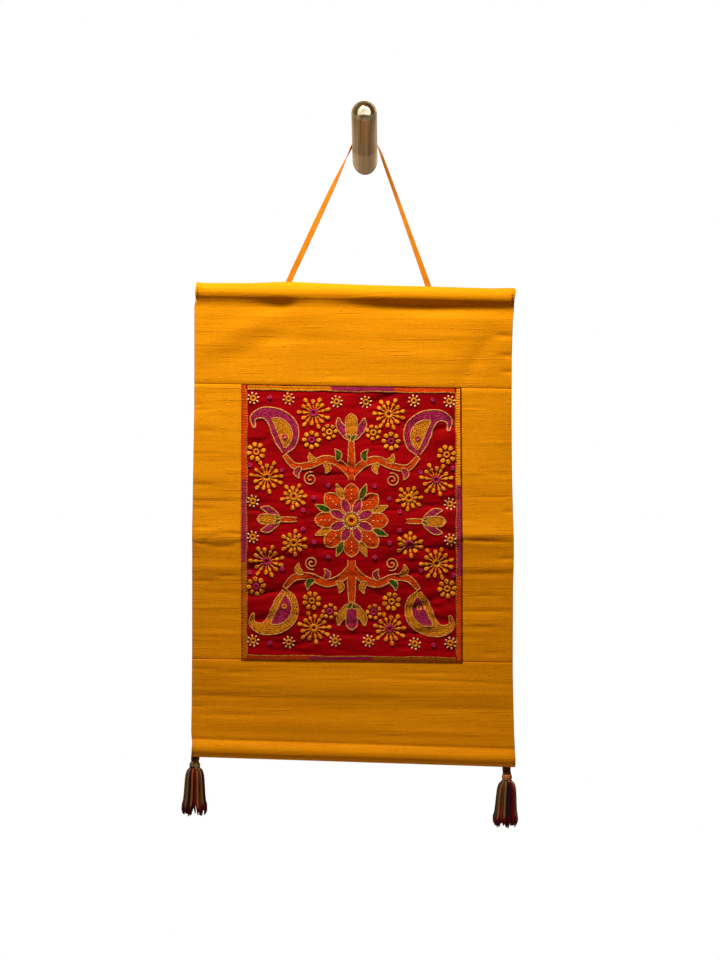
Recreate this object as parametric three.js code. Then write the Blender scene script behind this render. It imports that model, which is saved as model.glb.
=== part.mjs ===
// Embroidered wall hanging on its wall peg
// Millimetres, +Z up, the front faces -Y and the wall is the plane y = 0.
// The origin is the middle of the peg's flat wall end.

import * as THREE from 'three';

const { degToRad, lerp, mapLinear, clamp } = THREE.MathUtils;

const SLIT = 0.3;                // space left between two pieces that touch

const PEG = { radius: 12, domeCentre: 62.5, tiltDeg: 32, leanDeg: -1.4, sides: 32, domeSteps: 8 };

const SILK = 1.5;                // thickness of the cloth
const ROD_RADIUS = 6.35;         // half inch dowel
const ROD_LENGTH = 300;
const ROD_MIDDLE = -9.5;         // where its middle lies across the hanging
const SLEEVE_INNER = ROD_RADIUS + SLIT;
const SLEEVE_OUTER = SLEEVE_INNER + SILK;

// The hanging's middle plane, with the back of both sleeves 3 mm off the wall
const HANG_DEPTH = -3.35 - SLEEVE_OUTER;

// Lines across the hanging, as heights at the left and right sides. It hangs a little askew.
const SIDE_LEFT = -163;
const SIDE_RIGHT = 141;
const TOP_ROD = { left: -127.4, right: -133.1 };
const TOP_SEAM = { left: -215.4, right: -220.4 };
const BOTTOM_SEAM = { left: -478.5, right: -482.1 };
const BOTTOM_ROD = { left: -563.8, right: -573.7 };

// Seams down the two sides of the red panel
const PANEL_LEFT = -118.2;
const PANEL_RIGHT = { top: 92, bottom: 93.1 };

// Turned-in side hem: where it ends on the strip's back, as a part of the strip's width, and how much
// thicker it makes the strip
const HEM = { part: 0.285, fade: 0.015, extra: 0.9 };

// The two side edges, at distances down from the peg
const SIDE_EDGES = [
  { down: 118, left: -160.4, right: 142.6 },
  { down: 128, left: -161.4, right: 143.4 },
  { down: 136, left: -161.2, right: 142.0 },
  { down: 142, left: -162.6, right: 142.1 },
  { down: 155, left: -162.7, right: 140.9 },
  { down: 190, left: -162.8, right: 140.0 },
  { down: 245, left: -163.0, right: 139.9 },
  { down: 300, left: -163.8, right: 140.2 },
  { down: 352, left: -164.4, right: 141.1 },
  { down: 378, left: -164.4, right: 141.6 },
  { down: 410, left: -164.7, right: 141.1 },
  { down: 490, left: -165.1, right: 141.0 },
  { down: 548, left: -165.6, right: 142.1 },
  { down: 559, left: -164.6, right: 142.6 },
  { down: 582, left: -164.4, right: 143.2 },
];

// How far the loose top sleeve stands above its rod, highest where the cord draws it up
const CROWN_LIFT = [
  { x: -160, lift: 1.2 },
  { x: -154, lift: 0.2 },
  { x: -110, lift: 0.9 },
  { x: -74, lift: 3.0 },
  { x: -40, lift: 2.1 },
  { x: 0, lift: 1.2 },
  { x: 62, lift: 0.8 },
  { x: 120, lift: 0.2 },
  { x: 141, lift: 1.0 },
];

// Soft folds of the cloth. rise is towards the viewer, slope is how it runs downhill to the right.
// The first two are the wide bow and the crease that packing has left across the middle.
const FOLDS = [
  { x: -10, down: 360, halfLength: 2000, halfWidth: 75, rise: 4.2, slope: 0 },
  { x: -10, down: 362, halfLength: 2000, halfWidth: 22, rise: 1.6, slope: 0 },
  { x: -112, down: 152, halfLength: 62, halfWidth: 12, rise: 2.4, slope: 0.02 },
  { x: 150, down: 285, halfLength: 16, halfWidth: 55, rise: -2.4, slope: 0 },
  { x: -156, down: 255, halfLength: 22, halfWidth: 9, rise: 0.9, slope: 0 },
  { x: -150, down: 306, halfLength: 26, halfWidth: 9, rise: 0.9, slope: 0 },
  { x: -142, down: 360, halfLength: 30, halfWidth: 9, rise: 1.5, slope: -0.05 },
  { x: 105, down: 360, halfLength: 62, halfWidth: 9, rise: 1.8, slope: 0.02 },
  { x: -142, down: 393, halfLength: 32, halfWidth: 9, rise: 1.1, slope: 0.03 },
  { x: 120, down: 392, halfLength: 34, halfWidth: 9, rise: 1.1, slope: 0 },
  { x: 112, down: 442, halfLength: 28, halfWidth: 9, rise: 1.0, slope: 0 },
  { x: -134, down: 486, halfLength: 38, halfWidth: 9, rise: 0.9, slope: 0.05 },
  { x: -20, down: 507, halfLength: 150, halfWidth: 13, rise: 1.5, slope: 0.02 },
  { x: -50, down: 540, halfLength: 105, halfWidth: 9, rise: 1.2, slope: 0.02 },
  { x: -20, down: 300, halfLength: 80, halfWidth: 40, rise: 1.4, slope: 0 },
  { x: 30, down: 430, halfLength: 70, halfWidth: 26, rise: -1.2, slope: 0.05 },
];

// The sleeve's section, from the rod's middle: how far below it the two layers meet, and the hem's end behind
const THROAT = { start: 10, flat: 14, hemEnd: 25, lap: 1.2, settle: 12 };

// The sleeve goes round its rod from the front's foot to the back's foot, in degrees from straight back
const SLEEVE_ARC = { front: -128, back: -412, steps: 14 };
const TUNNEL_ARC = { back: -48, front: 228, footHalf: 0.4 };

const BAND_STEPS = 24;           // steps across a band
const BAND_ROWS = 7;             // rows between its seam and its sleeve
const CLOTH_ROWS = 26;           // rows down the panel and the strips

const CORD = { width: 5.5, thickness: 1.2, edge: 0.35, stepsPerSpan: 3 };

// The cord's route, left end to right end. turn 0 lies flat on the peg, turn 1 faces the front.
const CORD_ROUTE = [
  { x: -78.6, y: -5.3, z: -136.4, turn: 1 },
  { x: -77.8, y: -3.4, z: -133.4, turn: 1 },
  { x: -76.8, y: -2.3, z: -129.0, turn: 1 },
  { x: -75.4, y: -2.6, z: -124.0, turn: 1 },
  { x: -73.0, y: -3.4, z: -117.0, turn: 1 },
  { x: -57.8, y: -4.8, z: -84.5, turn: 1 },
  { x: -42.6, y: -6.2, z: -52.0, turn: 0.9 },
  { x: -27.3, y: -7.6, z: -19.5, turn: 0.7 },
  { x: -16.8, y: -8.6, z: 2.8, turn: 0.25 },
  { x: -11.8, y: -9.0, z: 13.0, turn: 0 },
  { x: -8.6, y: -9.0, z: 17.5, turn: 0 },
  { x: -4.6, y: -9.0, z: 20.2, turn: 0 },
  { x: -0.2, y: -9.0, z: 21.1, turn: 0 },
  { x: 4.3, y: -9.0, z: 20.2, turn: 0 },
  { x: 8.5, y: -9.0, z: 17.3, turn: 0 },
  { x: 12.4, y: -9.0, z: 11.6, turn: 0 },
  { x: 20.0, y: -8.2, z: -8.5, turn: 0.1 },
  { x: 32.2, y: -6.8, z: -42.0, turn: 0.3 },
  { x: 46.7, y: -5.1, z: -82.3, turn: 0.65 },
  { x: 60.7, y: -3.4, z: -121.5, turn: 1 },
  { x: 62.3, y: -2.6, z: -127.0, turn: 1 },
  { x: 63.3, y: -2.3, z: -131.6, turn: 1 },
  { x: 64.1, y: -3.4, z: -136.0, turn: 1 },
  { x: 64.7, y: -5.3, z: -139.0, turn: 1 },
];

// Tassels, with heights down from the middle of the bottom rod
const TASSELS = [
  {
    name: 'tassel_left', x: -162.5, neckHalfWidth: 4.2, bindingTop: 14.4, bindingHeight: 3.0, bindingOut: 5.2,
    skirtLength: 46.5, skirtShift: -0.5,
  },
  {
    name: 'tassel_right', x: 135.5, neckHalfWidth: 4.1, bindingTop: 14.8, bindingHeight: 5.6, bindingOut: 5.0,
    skirtLength: 45, skirtShift: -1.8,
  },
];
const NECK_RADIUS = 3.4;         // half thickness of the loop inside its binding
const STRAP_HALF = 1.2;          // half thickness of the loop where it lies on the sleeve

// The loop above its binding: it bends back at bend, then lies on the sleeve at these bearings, in degrees
const LOOP = { bendBack: 1.6, bendBelow: 12.8, low: -56, middle: -28, round: 0.24, spread: 0.35, steps: 12 };
const BINDING_SIDES = 20;
const SKIRT = { sides: 28, strands: 14, flute: 0.045, tufts: 6, ragged: 3.2, depth: 0.86 };

// Half width of a tassel's skirt at parts of its length
const SKIRT_PROFILE = [
  { part: 0, radius: 5.8 },
  { part: 0.05, radius: 7.3 },
  { part: 0.13, radius: 8.9 },
  { part: 0.3, radius: 9.6 },
  { part: 0.55, radius: 10.0 },
  { part: 0.76, radius: 10.7 },
  { part: 0.85, radius: 12.2 },
  { part: 0.94, radius: 11.9 },
];

const paint = (color, roughness, metalness) => new THREE.MeshStandardMaterial({ color, roughness, metalness });
const MATERIALS = {
  brass: paint(0x8a6c40, 0.35, 1),
  goldSilk: paint(0xdc8c12, 0.6, 0),
  redCloth: paint(0x8a0a12, 0.75, 0),
  wood: paint(0xb08458, 0.7, 0),
  tasselYarn: paint(0x5c482c, 0.85, 0),
  bindingThread: paint(0xb8764c, 0.6, 0),
};

function named(name, geometry, material) {
  const mesh = new THREE.Mesh(geometry, MATERIALS[material]);
  mesh.name = name;
  return mesh;
}

// Moves every corner of a geometry to where place(x, y, z) puts it
function reshape(geometry, place) {
  const corners = geometry.getAttribute('position');
  for (let i = 0; i < corners.count; i += 1) {
    const to = place(corners.getX(i), corners.getY(i), corners.getZ(i));
    corners.setXYZ(i, to[0], to[1], to[2]);
  }
  geometry.deleteAttribute('uv');
  geometry.computeVertexNormals();
  return geometry;
}

// One column of a table at a place, straight between its rows
function fromTable(rows, key, at, column) {
  if (at <= rows[0][key]) return rows[0][column];
  for (let i = 1; i < rows.length; i += 1) {
    const before = rows[i - 1];
    const after = rows[i];
    if (at <= after[key]) return mapLinear(at, before[key], after[key], before[column], after[column]);
  }
  return rows[rows.length - 1][column];
}

const heightOf = (line, x) => mapLinear(x, SIDE_LEFT, SIDE_RIGHT, line.left, line.right);

// How far the folds bring the cloth forward at a place
function foldAt(x, z) {
  let forward = 0;
  for (const fold of FOLDS) {
    const along = (x - fold.x) / fold.halfLength;
    const across = (z + fold.down + fold.slope * (x - fold.x)) / fold.halfWidth;
    forward += fold.rise * Math.exp(-along * along - across * across);
  }
  return forward;
}

// Wall peg: a round bar with a domed tip, its wall end cut flush with the wall
function wallPeg() {
  const profile = [new THREE.Vector2(0, 0), new THREE.Vector2(PEG.radius, 0)];
  for (let i = 0; i <= PEG.domeSteps; i += 1) {
    const turn = (i / PEG.domeSteps) * (Math.PI / 2);
    profile.push(new THREE.Vector2(PEG.radius * Math.cos(turn), PEG.domeCentre + PEG.radius * Math.sin(turn)));
  }
  profile[profile.length - 1].x = 0;
  const peg = named('wall_peg', new THREE.LatheGeometry(profile, PEG.sides), 'brass');
  peg.rotation.set(degToRad(90 - PEG.tiltDeg), 0, degToRad(PEG.leanDeg), 'ZXY');
  const intoWall = new THREE.Vector3(0, 1, 0).applyQuaternion(peg.quaternion.clone().invert());
  reshape(peg.geometry, (x, along, z) => {
    const y = -z;
    const onWall = along === 0;
    return [x, y, onWall ? -(intoWall.x * x + intoWall.y * y) / intoWall.z : along];
  });
  return peg;
}

// Rod: a round bar along the sleeve's slope
function rod(name, line) {
  const bar = named(name, new THREE.CylinderGeometry(ROD_RADIUS, ROD_RADIUS, ROD_LENGTH, 24), 'wood');
  bar.position.set(ROD_MIDDLE, HANG_DEPTH, heightOf(line, ROD_MIDDLE));
  bar.rotation.y = -Math.atan2(line.right - line.left, SIDE_RIGHT - SIDE_LEFT);
  bar.rotation.z = -Math.PI / 2;
  return bar;
}

// Outline of a sleeved band, seen from its end: across is depth, up is height from the rod.
// The front runs up from the seam, over the rod and down behind, and ends in the sewn hem.
function sleeveOutline(seamBelow, rows) {
  const half = SILK / 2;
  const outline = [];
  for (let i = 0; i < rows; i += 1) {
    outline.push([-half, mapLinear(i, 0, rows, -seamBelow, -THROAT.flat)]);
  }
  outline.push([-half, -THROAT.flat]);
  outline.push([-half - THROAT.lap, -THROAT.start]);
  for (let i = 0; i <= SLEEVE_ARC.steps; i += 1) {
    const turn = degToRad(lerp(SLEEVE_ARC.front, SLEEVE_ARC.back, i / SLEEVE_ARC.steps));
    outline.push([SLEEVE_OUTER * Math.cos(turn), SLEEVE_OUTER * Math.sin(turn)]);
  }
  outline.push([half + SILK, -THROAT.start - SILK]);
  outline.push([half + SILK, -THROAT.hemEnd]);
  outline.push([half, -THROAT.hemEnd - 1]);
  for (let i = 1; i <= rows; i += 1) {
    outline.push([half, mapLinear(i, 0, rows, -THROAT.hemEnd - 1, -seamBelow)]);
  }
  return outline;
}

// The tunnel for the rod, drawn in to a narrow foot where the layers meet
function tunnelOutline() {
  const outline = [];
  for (let i = 0; i <= SLEEVE_ARC.steps; i += 1) {
    const turn = degToRad(lerp(TUNNEL_ARC.back, TUNNEL_ARC.front, i / SLEEVE_ARC.steps));
    outline.push([SLEEVE_INNER * Math.cos(turn), SLEEVE_INNER * Math.sin(turn)]);
  }
  outline.push([-TUNNEL_ARC.footHalf, -THROAT.start + 1]);
  outline.push([TUNNEL_ARC.footHalf, -THROAT.start + 1]);
  return outline;
}

const toShape = (points, upDown) => new THREE.Shape(points.map(([a, b]) => new THREE.Vector2(a, upDown * b)));

// Band of border silk with a rod's sleeve: upDown is 1 with the sleeve on top, -1 with it at the foot
function sleevedBand(name, rodLine, seamLine, upDown, liftRows) {
  const seamBelow = Math.abs(rodLine.left - seamLine.left);
  const shape = toShape(sleeveOutline(seamBelow, BAND_ROWS), upDown);
  shape.holes.push(toShape(tunnelOutline(), upDown));
  const geometry = new THREE.ExtrudeGeometry(shape, { depth: 1, steps: BAND_STEPS, bevelEnabled: false });
  return named(name, reshape(geometry, (depth, up, part) => {
    let x = lerp(SIDE_LEFT, SIDE_RIGHT, part);
    let z = 0;
    for (let pass = 0; pass < 2; pass += 1) {
      const rodHeight = heightOf(rodLine, x);
      const below = -up * upDown;
      if (below > THROAT.flat) {
        const seamHeight = heightOf(seamLine, x) + upDown * SLIT / 2;
        z = mapLinear(below, THROAT.flat, seamBelow, rodHeight - upDown * THROAT.flat, seamHeight);
      } else {
        const lift = liftRows ? fromTable(liftRows, 'x', x, 'lift') * clamp(up / SLEEVE_OUTER, 0, 1) : 0;
        z = rodHeight + up + lift;
      }
      x = lerp(fromTable(SIDE_EDGES, 'down', -z, 'left'), fromTable(SIDE_EDGES, 'down', -z, 'right'), part);
    }
    const offRod = clamp((-up * upDown - THROAT.start) / THROAT.settle, 0, 1);
    return [x, HANG_DEPTH + depth - foldAt(x, z) * offRod, z];
  }), 'goldSilk');
}

// Flat piece of cloth: leftAt and rightAt give its sides at a height, columns where its columns lie,
// and extraAt how much thicker the back is at a part of its width
function flatCloth(name, material, columns, leftAt, rightAt, extraAt) {
  const geometry = new THREE.BoxGeometry(1, 1, 1, columns.length - 1, CLOTH_ROWS, 1);
  return named(name, reshape(geometry, (across, up, front) => {
    const part = columns[Math.round((across + 0.5) * (columns.length - 1))];
    const roughHeight = lerp(BOTTOM_SEAM.left, TOP_SEAM.left, up + 0.5);
    let x = lerp(leftAt(roughHeight), rightAt(roughHeight), part);
    const z = lerp(heightOf(BOTTOM_SEAM, x) + SLIT / 2, heightOf(TOP_SEAM, x) - SLIT / 2, up + 0.5);
    x = lerp(leftAt(z), rightAt(z), part);
    const half = front > 0 ? -SILK / 2 : SILK / 2 + extraAt(part);
    return [x, HANG_DEPTH + half - foldAt(x, z), z];
  }), material);
}

const leftEdge = (z) => fromTable(SIDE_EDGES, 'down', -z, 'left');
const rightEdge = (z) => fromTable(SIDE_EDGES, 'down', -z, 'right');
const panelRight = (z) => mapLinear(z, TOP_SEAM.right, BOTTOM_SEAM.right, PANEL_RIGHT.top, PANEL_RIGHT.bottom);

// Hanging cord: a flat strip laid along its route, which turns from the peg's direction to the front
function hangingCord() {
  const route = new THREE.CatmullRomCurve3(CORD_ROUTE.map((at) => new THREE.Vector3(at.x, at.y, at.z)));
  const steps = (CORD_ROUTE.length - 1) * CORD.stepsPerSpan;
  const halfWidth = CORD.width / 2;
  const halfThick = CORD.thickness / 2;
  const section = new THREE.Shape([
    new THREE.Vector2(-halfWidth + CORD.edge, -halfThick),
    new THREE.Vector2(halfWidth - CORD.edge, -halfThick),
    new THREE.Vector2(halfWidth, -halfThick + CORD.edge),
    new THREE.Vector2(halfWidth, halfThick - CORD.edge),
    new THREE.Vector2(halfWidth - CORD.edge, halfThick),
    new THREE.Vector2(-halfWidth + CORD.edge, halfThick),
    new THREE.Vector2(-halfWidth, halfThick - CORD.edge),
    new THREE.Vector2(-halfWidth, -halfThick + CORD.edge),
  ]);
  const geometry = new THREE.ExtrudeGeometry(section, { depth: 1, steps, bevelEnabled: false });
  const tilt = degToRad(PEG.tiltDeg);
  const alongPeg = new THREE.Vector3(0, -Math.cos(tilt), Math.sin(tilt));
  const acrossFront = new THREE.Vector3(1, 0, 0);
  return named('hanging_cord', reshape(geometry, (wide, thick, part) => {
    const at = route.getPoint(part);
    const heading = route.getTangent(part);
    const span = clamp(Math.floor(part * (CORD_ROUTE.length - 1)), 0, CORD_ROUTE.length - 2);
    const inSpan = part * (CORD_ROUTE.length - 1) - span;
    const turn = lerp(CORD_ROUTE[span].turn, CORD_ROUTE[span + 1].turn, inSpan);
    const widthWay = alongPeg.clone().lerp(acrossFront, turn);
    widthWay.addScaledVector(heading, -widthWay.dot(heading)).normalize();
    const thickWay = heading.clone().cross(widthWay);
    at.addScaledVector(widthWay, wide).addScaledVector(thickWay, thick);
    return at.toArray();
  }), 'goldSilk');
}

// Tassel loop: doubled yarn from inside the binding up behind the sleeve, round below and flat above
function tasselLoop(spec) {
  const onSleeve = SLEEVE_OUTER + SLIT + STRAP_HALF + 0.15;
  const low = degToRad(LOOP.low);
  const middle = degToRad(LOOP.middle);
  const path = new THREE.CatmullRomCurve3([
    new THREE.Vector3(0, 0, -spec.bindingTop - spec.bindingHeight),
    new THREE.Vector3(0, 0, -spec.bindingTop),
    new THREE.Vector3(0, LOOP.bendBack, -LOOP.bendBelow),
    new THREE.Vector3(0, onSleeve * Math.cos(low), onSleeve * Math.sin(low) - 0.5),
    new THREE.Vector3(0, onSleeve * Math.cos(middle), onSleeve * Math.sin(middle)),
    new THREE.Vector3(0, onSleeve, 0),
  ]);
  const section = new THREE.Shape();
  section.absellipse(0, 0, 1, 1, 0, Math.PI * 2);
  const settings = { depth: 1, steps: LOOP.steps, bevelEnabled: false, curveSegments: 6 };
  const geometry = new THREE.ExtrudeGeometry(section, settings);
  const sideways = new THREE.Vector3(1, 0, 0);
  return named(`${spec.name}_loop`, reshape(geometry, (wide, thick, part) => {
    const at = path.getPoint(part);
    const flatten = clamp((part - LOOP.round) / LOOP.spread, 0, 1);
    const halfWidth = lerp(NECK_RADIUS, spec.neckHalfWidth, flatten);
    const halfThick = lerp(NECK_RADIUS, STRAP_HALF, flatten);
    const thickWay = path.getTangent(part).cross(sideways);
    at.addScaledVector(sideways, wide * halfWidth).addScaledVector(thickWay, thick * halfThick);
    return at.toArray();
  }), 'tasselYarn');
}

// Tassel binding: a wound collar round the foot of the loop
function tasselBinding(spec) {
  const inner = NECK_RADIUS + SLIT + 0.1;
  const foot = -spec.bindingTop - spec.bindingHeight + 0.2;
  const shoulder = spec.bindingOut - 0.5;
  const profile = [
    new THREE.Vector2(inner, foot),
    new THREE.Vector2(shoulder, foot),
    new THREE.Vector2(spec.bindingOut, foot + spec.bindingHeight / 2),
    new THREE.Vector2(shoulder, -spec.bindingTop),
    new THREE.Vector2(inner, -spec.bindingTop),
    new THREE.Vector2(inner, foot),
  ];
  return named(`${spec.name}_binding`, upright(new THREE.LatheGeometry(profile, BINDING_SIDES)), 'bindingThread');
}

// Tassel skirt: the cut yarn ends as one fluted solid with a ragged foot
function tasselSkirt(spec) {
  const top = -spec.bindingTop - spec.bindingHeight - SLIT;
  const profile = SKIRT_PROFILE.map((row) => new THREE.Vector2(row.radius, top - row.part * spec.skirtLength));
  profile.unshift(new THREE.Vector2(0, top));
  profile.push(new THREE.Vector2(0, top - spec.skirtLength * 0.9));
  profile.reverse();
  const geometry = upright(new THREE.LatheGeometry(profile, SKIRT.sides));
  const rimRow = SKIRT_PROFILE[SKIRT_PROFILE.length - 1];
  return named(`${spec.name}_skirt`, reshape(geometry, (x, y, z) => {
    const fall = (top - z) / spec.skirtLength;
    const radius = Math.hypot(x, y);
    const bearing = Math.atan2(y, x);
    const flute = 1 + SKIRT.flute * Math.cos(bearing * SKIRT.strands) * clamp(fall * 6, 0, 1);
    const atRim = Math.abs(fall - rimRow.part) < 0.01 && radius > 1;
    const ragged = atRim ? SKIRT.ragged * (0.5 + 0.5 * Math.cos(bearing * SKIRT.tufts + 0.6)) : 0;
    return [x * flute + spec.skirtShift * fall, y * flute * SKIRT.depth, z - ragged];
  }), 'tasselYarn');
}

// Turns a lathe's own upright axis to +Z
function upright(geometry) {
  return geometry.rotateX(Math.PI / 2);
}

function tassel(spec) {
  const group = new THREE.Group();
  group.position.set(spec.x, HANG_DEPTH, heightOf(BOTTOM_ROD, spec.x));
  group.add(tasselLoop(spec), tasselBinding(spec), tasselSkirt(spec));
  return group;
}

// Columns of corners, as parts of a piece's width: a strip's from its hemmed edge to the panel, and the panel's
const STRIP_COLUMNS = [0, HEM.part / 2, HEM.part - HEM.fade, HEM.part + HEM.fade, 0.62, 1];
const PANEL_STEPS = 14;
const PANEL_COLUMNS = Array.from({ length: PANEL_STEPS + 1 }, (_, i) => i / PANEL_STEPS);
const hemAt = (fromEdge) => (fromEdge < HEM.part ? HEM.extra : 0);

const hanging = new THREE.Group();
hanging.add(
  wallPeg(),
  hangingCord(),
  rod('top_rod', TOP_ROD),
  sleevedBand('top_band', TOP_ROD, TOP_SEAM, 1, CROWN_LIFT),
  flatCloth('left_strip', 'goldSilk', STRIP_COLUMNS, leftEdge, () => PANEL_LEFT - SLIT / 2, hemAt),
  flatCloth('embroidered_panel', 'redCloth', PANEL_COLUMNS, () => PANEL_LEFT + SLIT / 2,
    (z) => panelRight(z) - SLIT / 2, () => 0),
  flatCloth('right_strip', 'goldSilk', STRIP_COLUMNS.map((part) => 1 - part).reverse(),
    (z) => panelRight(z) + SLIT / 2, rightEdge, (part) => hemAt(1 - part)),
  sleevedBand('bottom_band', BOTTOM_ROD, BOTTOM_SEAM, -1, null),
  rod('bottom_rod', BOTTOM_ROD),
  ...TASSELS.map(tassel),
);

export default hanging;
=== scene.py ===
import cmath
import math

import bmesh
import bpy
import numpy as np
from mathutils import Matrix, Vector


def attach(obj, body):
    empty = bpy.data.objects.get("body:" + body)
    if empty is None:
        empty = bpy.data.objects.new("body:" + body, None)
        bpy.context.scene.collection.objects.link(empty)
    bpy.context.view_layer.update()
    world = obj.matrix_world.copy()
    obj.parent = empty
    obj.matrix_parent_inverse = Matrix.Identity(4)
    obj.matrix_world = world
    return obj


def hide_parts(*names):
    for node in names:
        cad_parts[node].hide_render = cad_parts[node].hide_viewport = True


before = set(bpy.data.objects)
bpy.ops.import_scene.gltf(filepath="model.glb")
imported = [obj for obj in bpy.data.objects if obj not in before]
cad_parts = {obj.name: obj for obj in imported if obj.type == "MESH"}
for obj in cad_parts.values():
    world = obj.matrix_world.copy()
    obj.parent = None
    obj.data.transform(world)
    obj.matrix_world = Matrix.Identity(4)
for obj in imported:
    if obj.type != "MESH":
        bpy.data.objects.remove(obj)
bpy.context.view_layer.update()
MM = 0.001
chance = np.random.default_rng(11)


# Camera: straight on, 0.955 mm to a pixel at the cloth
camera_data = bpy.data.cameras.new("camera")
camera_data.lens = 62.83
camera_data.sensor_width = 36
camera_data.clip_start = 0.05
camera = bpy.data.objects.new("camera", camera_data)
camera.location = (-0.004775, -1.6115, -0.30751)
camera.rotation_euler = (math.pi / 2, 0, 0)
bpy.context.scene.collection.objects.link(camera)
bpy.context.scene.camera = camera


# Numbers of the solid model. One fold in the tables lies on a slant here and level there.
HANG_DEPTH = -11.5
SIDE_LEFT, SIDE_RIGHT = -163, 141
TOP_ROD, TOP_SEAM = (-127.4, -133.1), (-215.4, -220.4)
BOTTOM_SEAM, BOTTOM_ROD = (-478.5, -482.1), (-563.8, -573.7)
PANEL_LEFT, PANEL_RIGHT = -118.2, (92.0, 93.1)
SLIT = 0.3
PEG = {"radius": 12, "dome_centre": 62.5, "tilt": math.radians(32), "lean": math.radians(-1.6)}

# Distance down from the peg, left edge, right edge
SIDE_EDGES = np.array([
    (118, -160.4, 142.6), (128, -161.4, 143.4), (136, -161.2, 142.0), (142, -162.6, 142.1),
    (155, -162.7, 140.9), (190, -162.8, 140.0), (245, -163.0, 139.9), (300, -163.8, 140.2),
    (352, -164.4, 141.1), (378, -164.4, 141.6), (410, -164.7, 141.1), (490, -165.1, 141.0),
    (548, -165.6, 142.1), (559, -164.6, 142.6), (582, -164.4, 143.2),
])

# Across, and how far the loose top sleeve stands above its rod
CROWN_LIFT = np.array([
    (-160, 1.2), (-154, 0.2), (-110, 0.9), (-74, 3.0), (-40, 2.1), (0, 1.2), (62, 0.8), (120, 0.2),
    (141, 1.0),
])

# Across, and how much farther forward the cloth comes out just below the top sleeve
TOP_THROAT = np.array([
    (-163, 2.3), (-145, 2.9), (-118, 2.7), (-104, 2.1), (-92, 1.0), (-80, 0.3), (-72, 1.0), (-63, 3.0),
    (-45, 3.8), (-22, 3.0), (-4, 1.6), (15, 0.6), (35, 0), (60, -0.4), (85, 0), (110, 0.5), (141, 1.2),
])

# Distance below the top rod's middle, and the share of TOP_THROAT that the cloth has there
THROAT_FADE = np.array([
    (3.5, 0), (6.2, 0.25), (8, 0.5), (10, 0.74), (12, 0.9), (15, 1), (21, 0.96), (34, 0.62), (60, 0),
])

# Soft folds: across, down, half length, half width, rise towards the viewer, slope downhill to the right.
# The first two are the wide bow and the crease that packing has left across the middle.
FOLDS = [
    (-10, 360, 2000, 75, 4.2, 0), (-10, 362, 2000, 22, 1.6, 0), (-116, 165, 50, 12, 1.6, -0.42),
    (150, 285, 16, 55, -2.4, 0), (-156, 255, 22, 9, 0.9, 0), (-150, 306, 26, 9, 0.9, 0),
    (-142, 360, 30, 9, 1.5, -0.05), (105, 360, 62, 9, 1.8, 0.02), (-142, 393, 32, 9, 1.1, 0.03),
    (120, 392, 34, 9, 1.1, 0), (112, 442, 28, 9, 1.0, 0), (-134, 486, 38, 9, 0.9, 0.05),
    (-20, 507, 150, 13, 1.5, 0.02), (-50, 540, 105, 9, 1.2, 0.02), (-20, 300, 80, 40, 1.4, 0),
    (30, 430, 70, 26, -1.2, 0.05),
]

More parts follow.
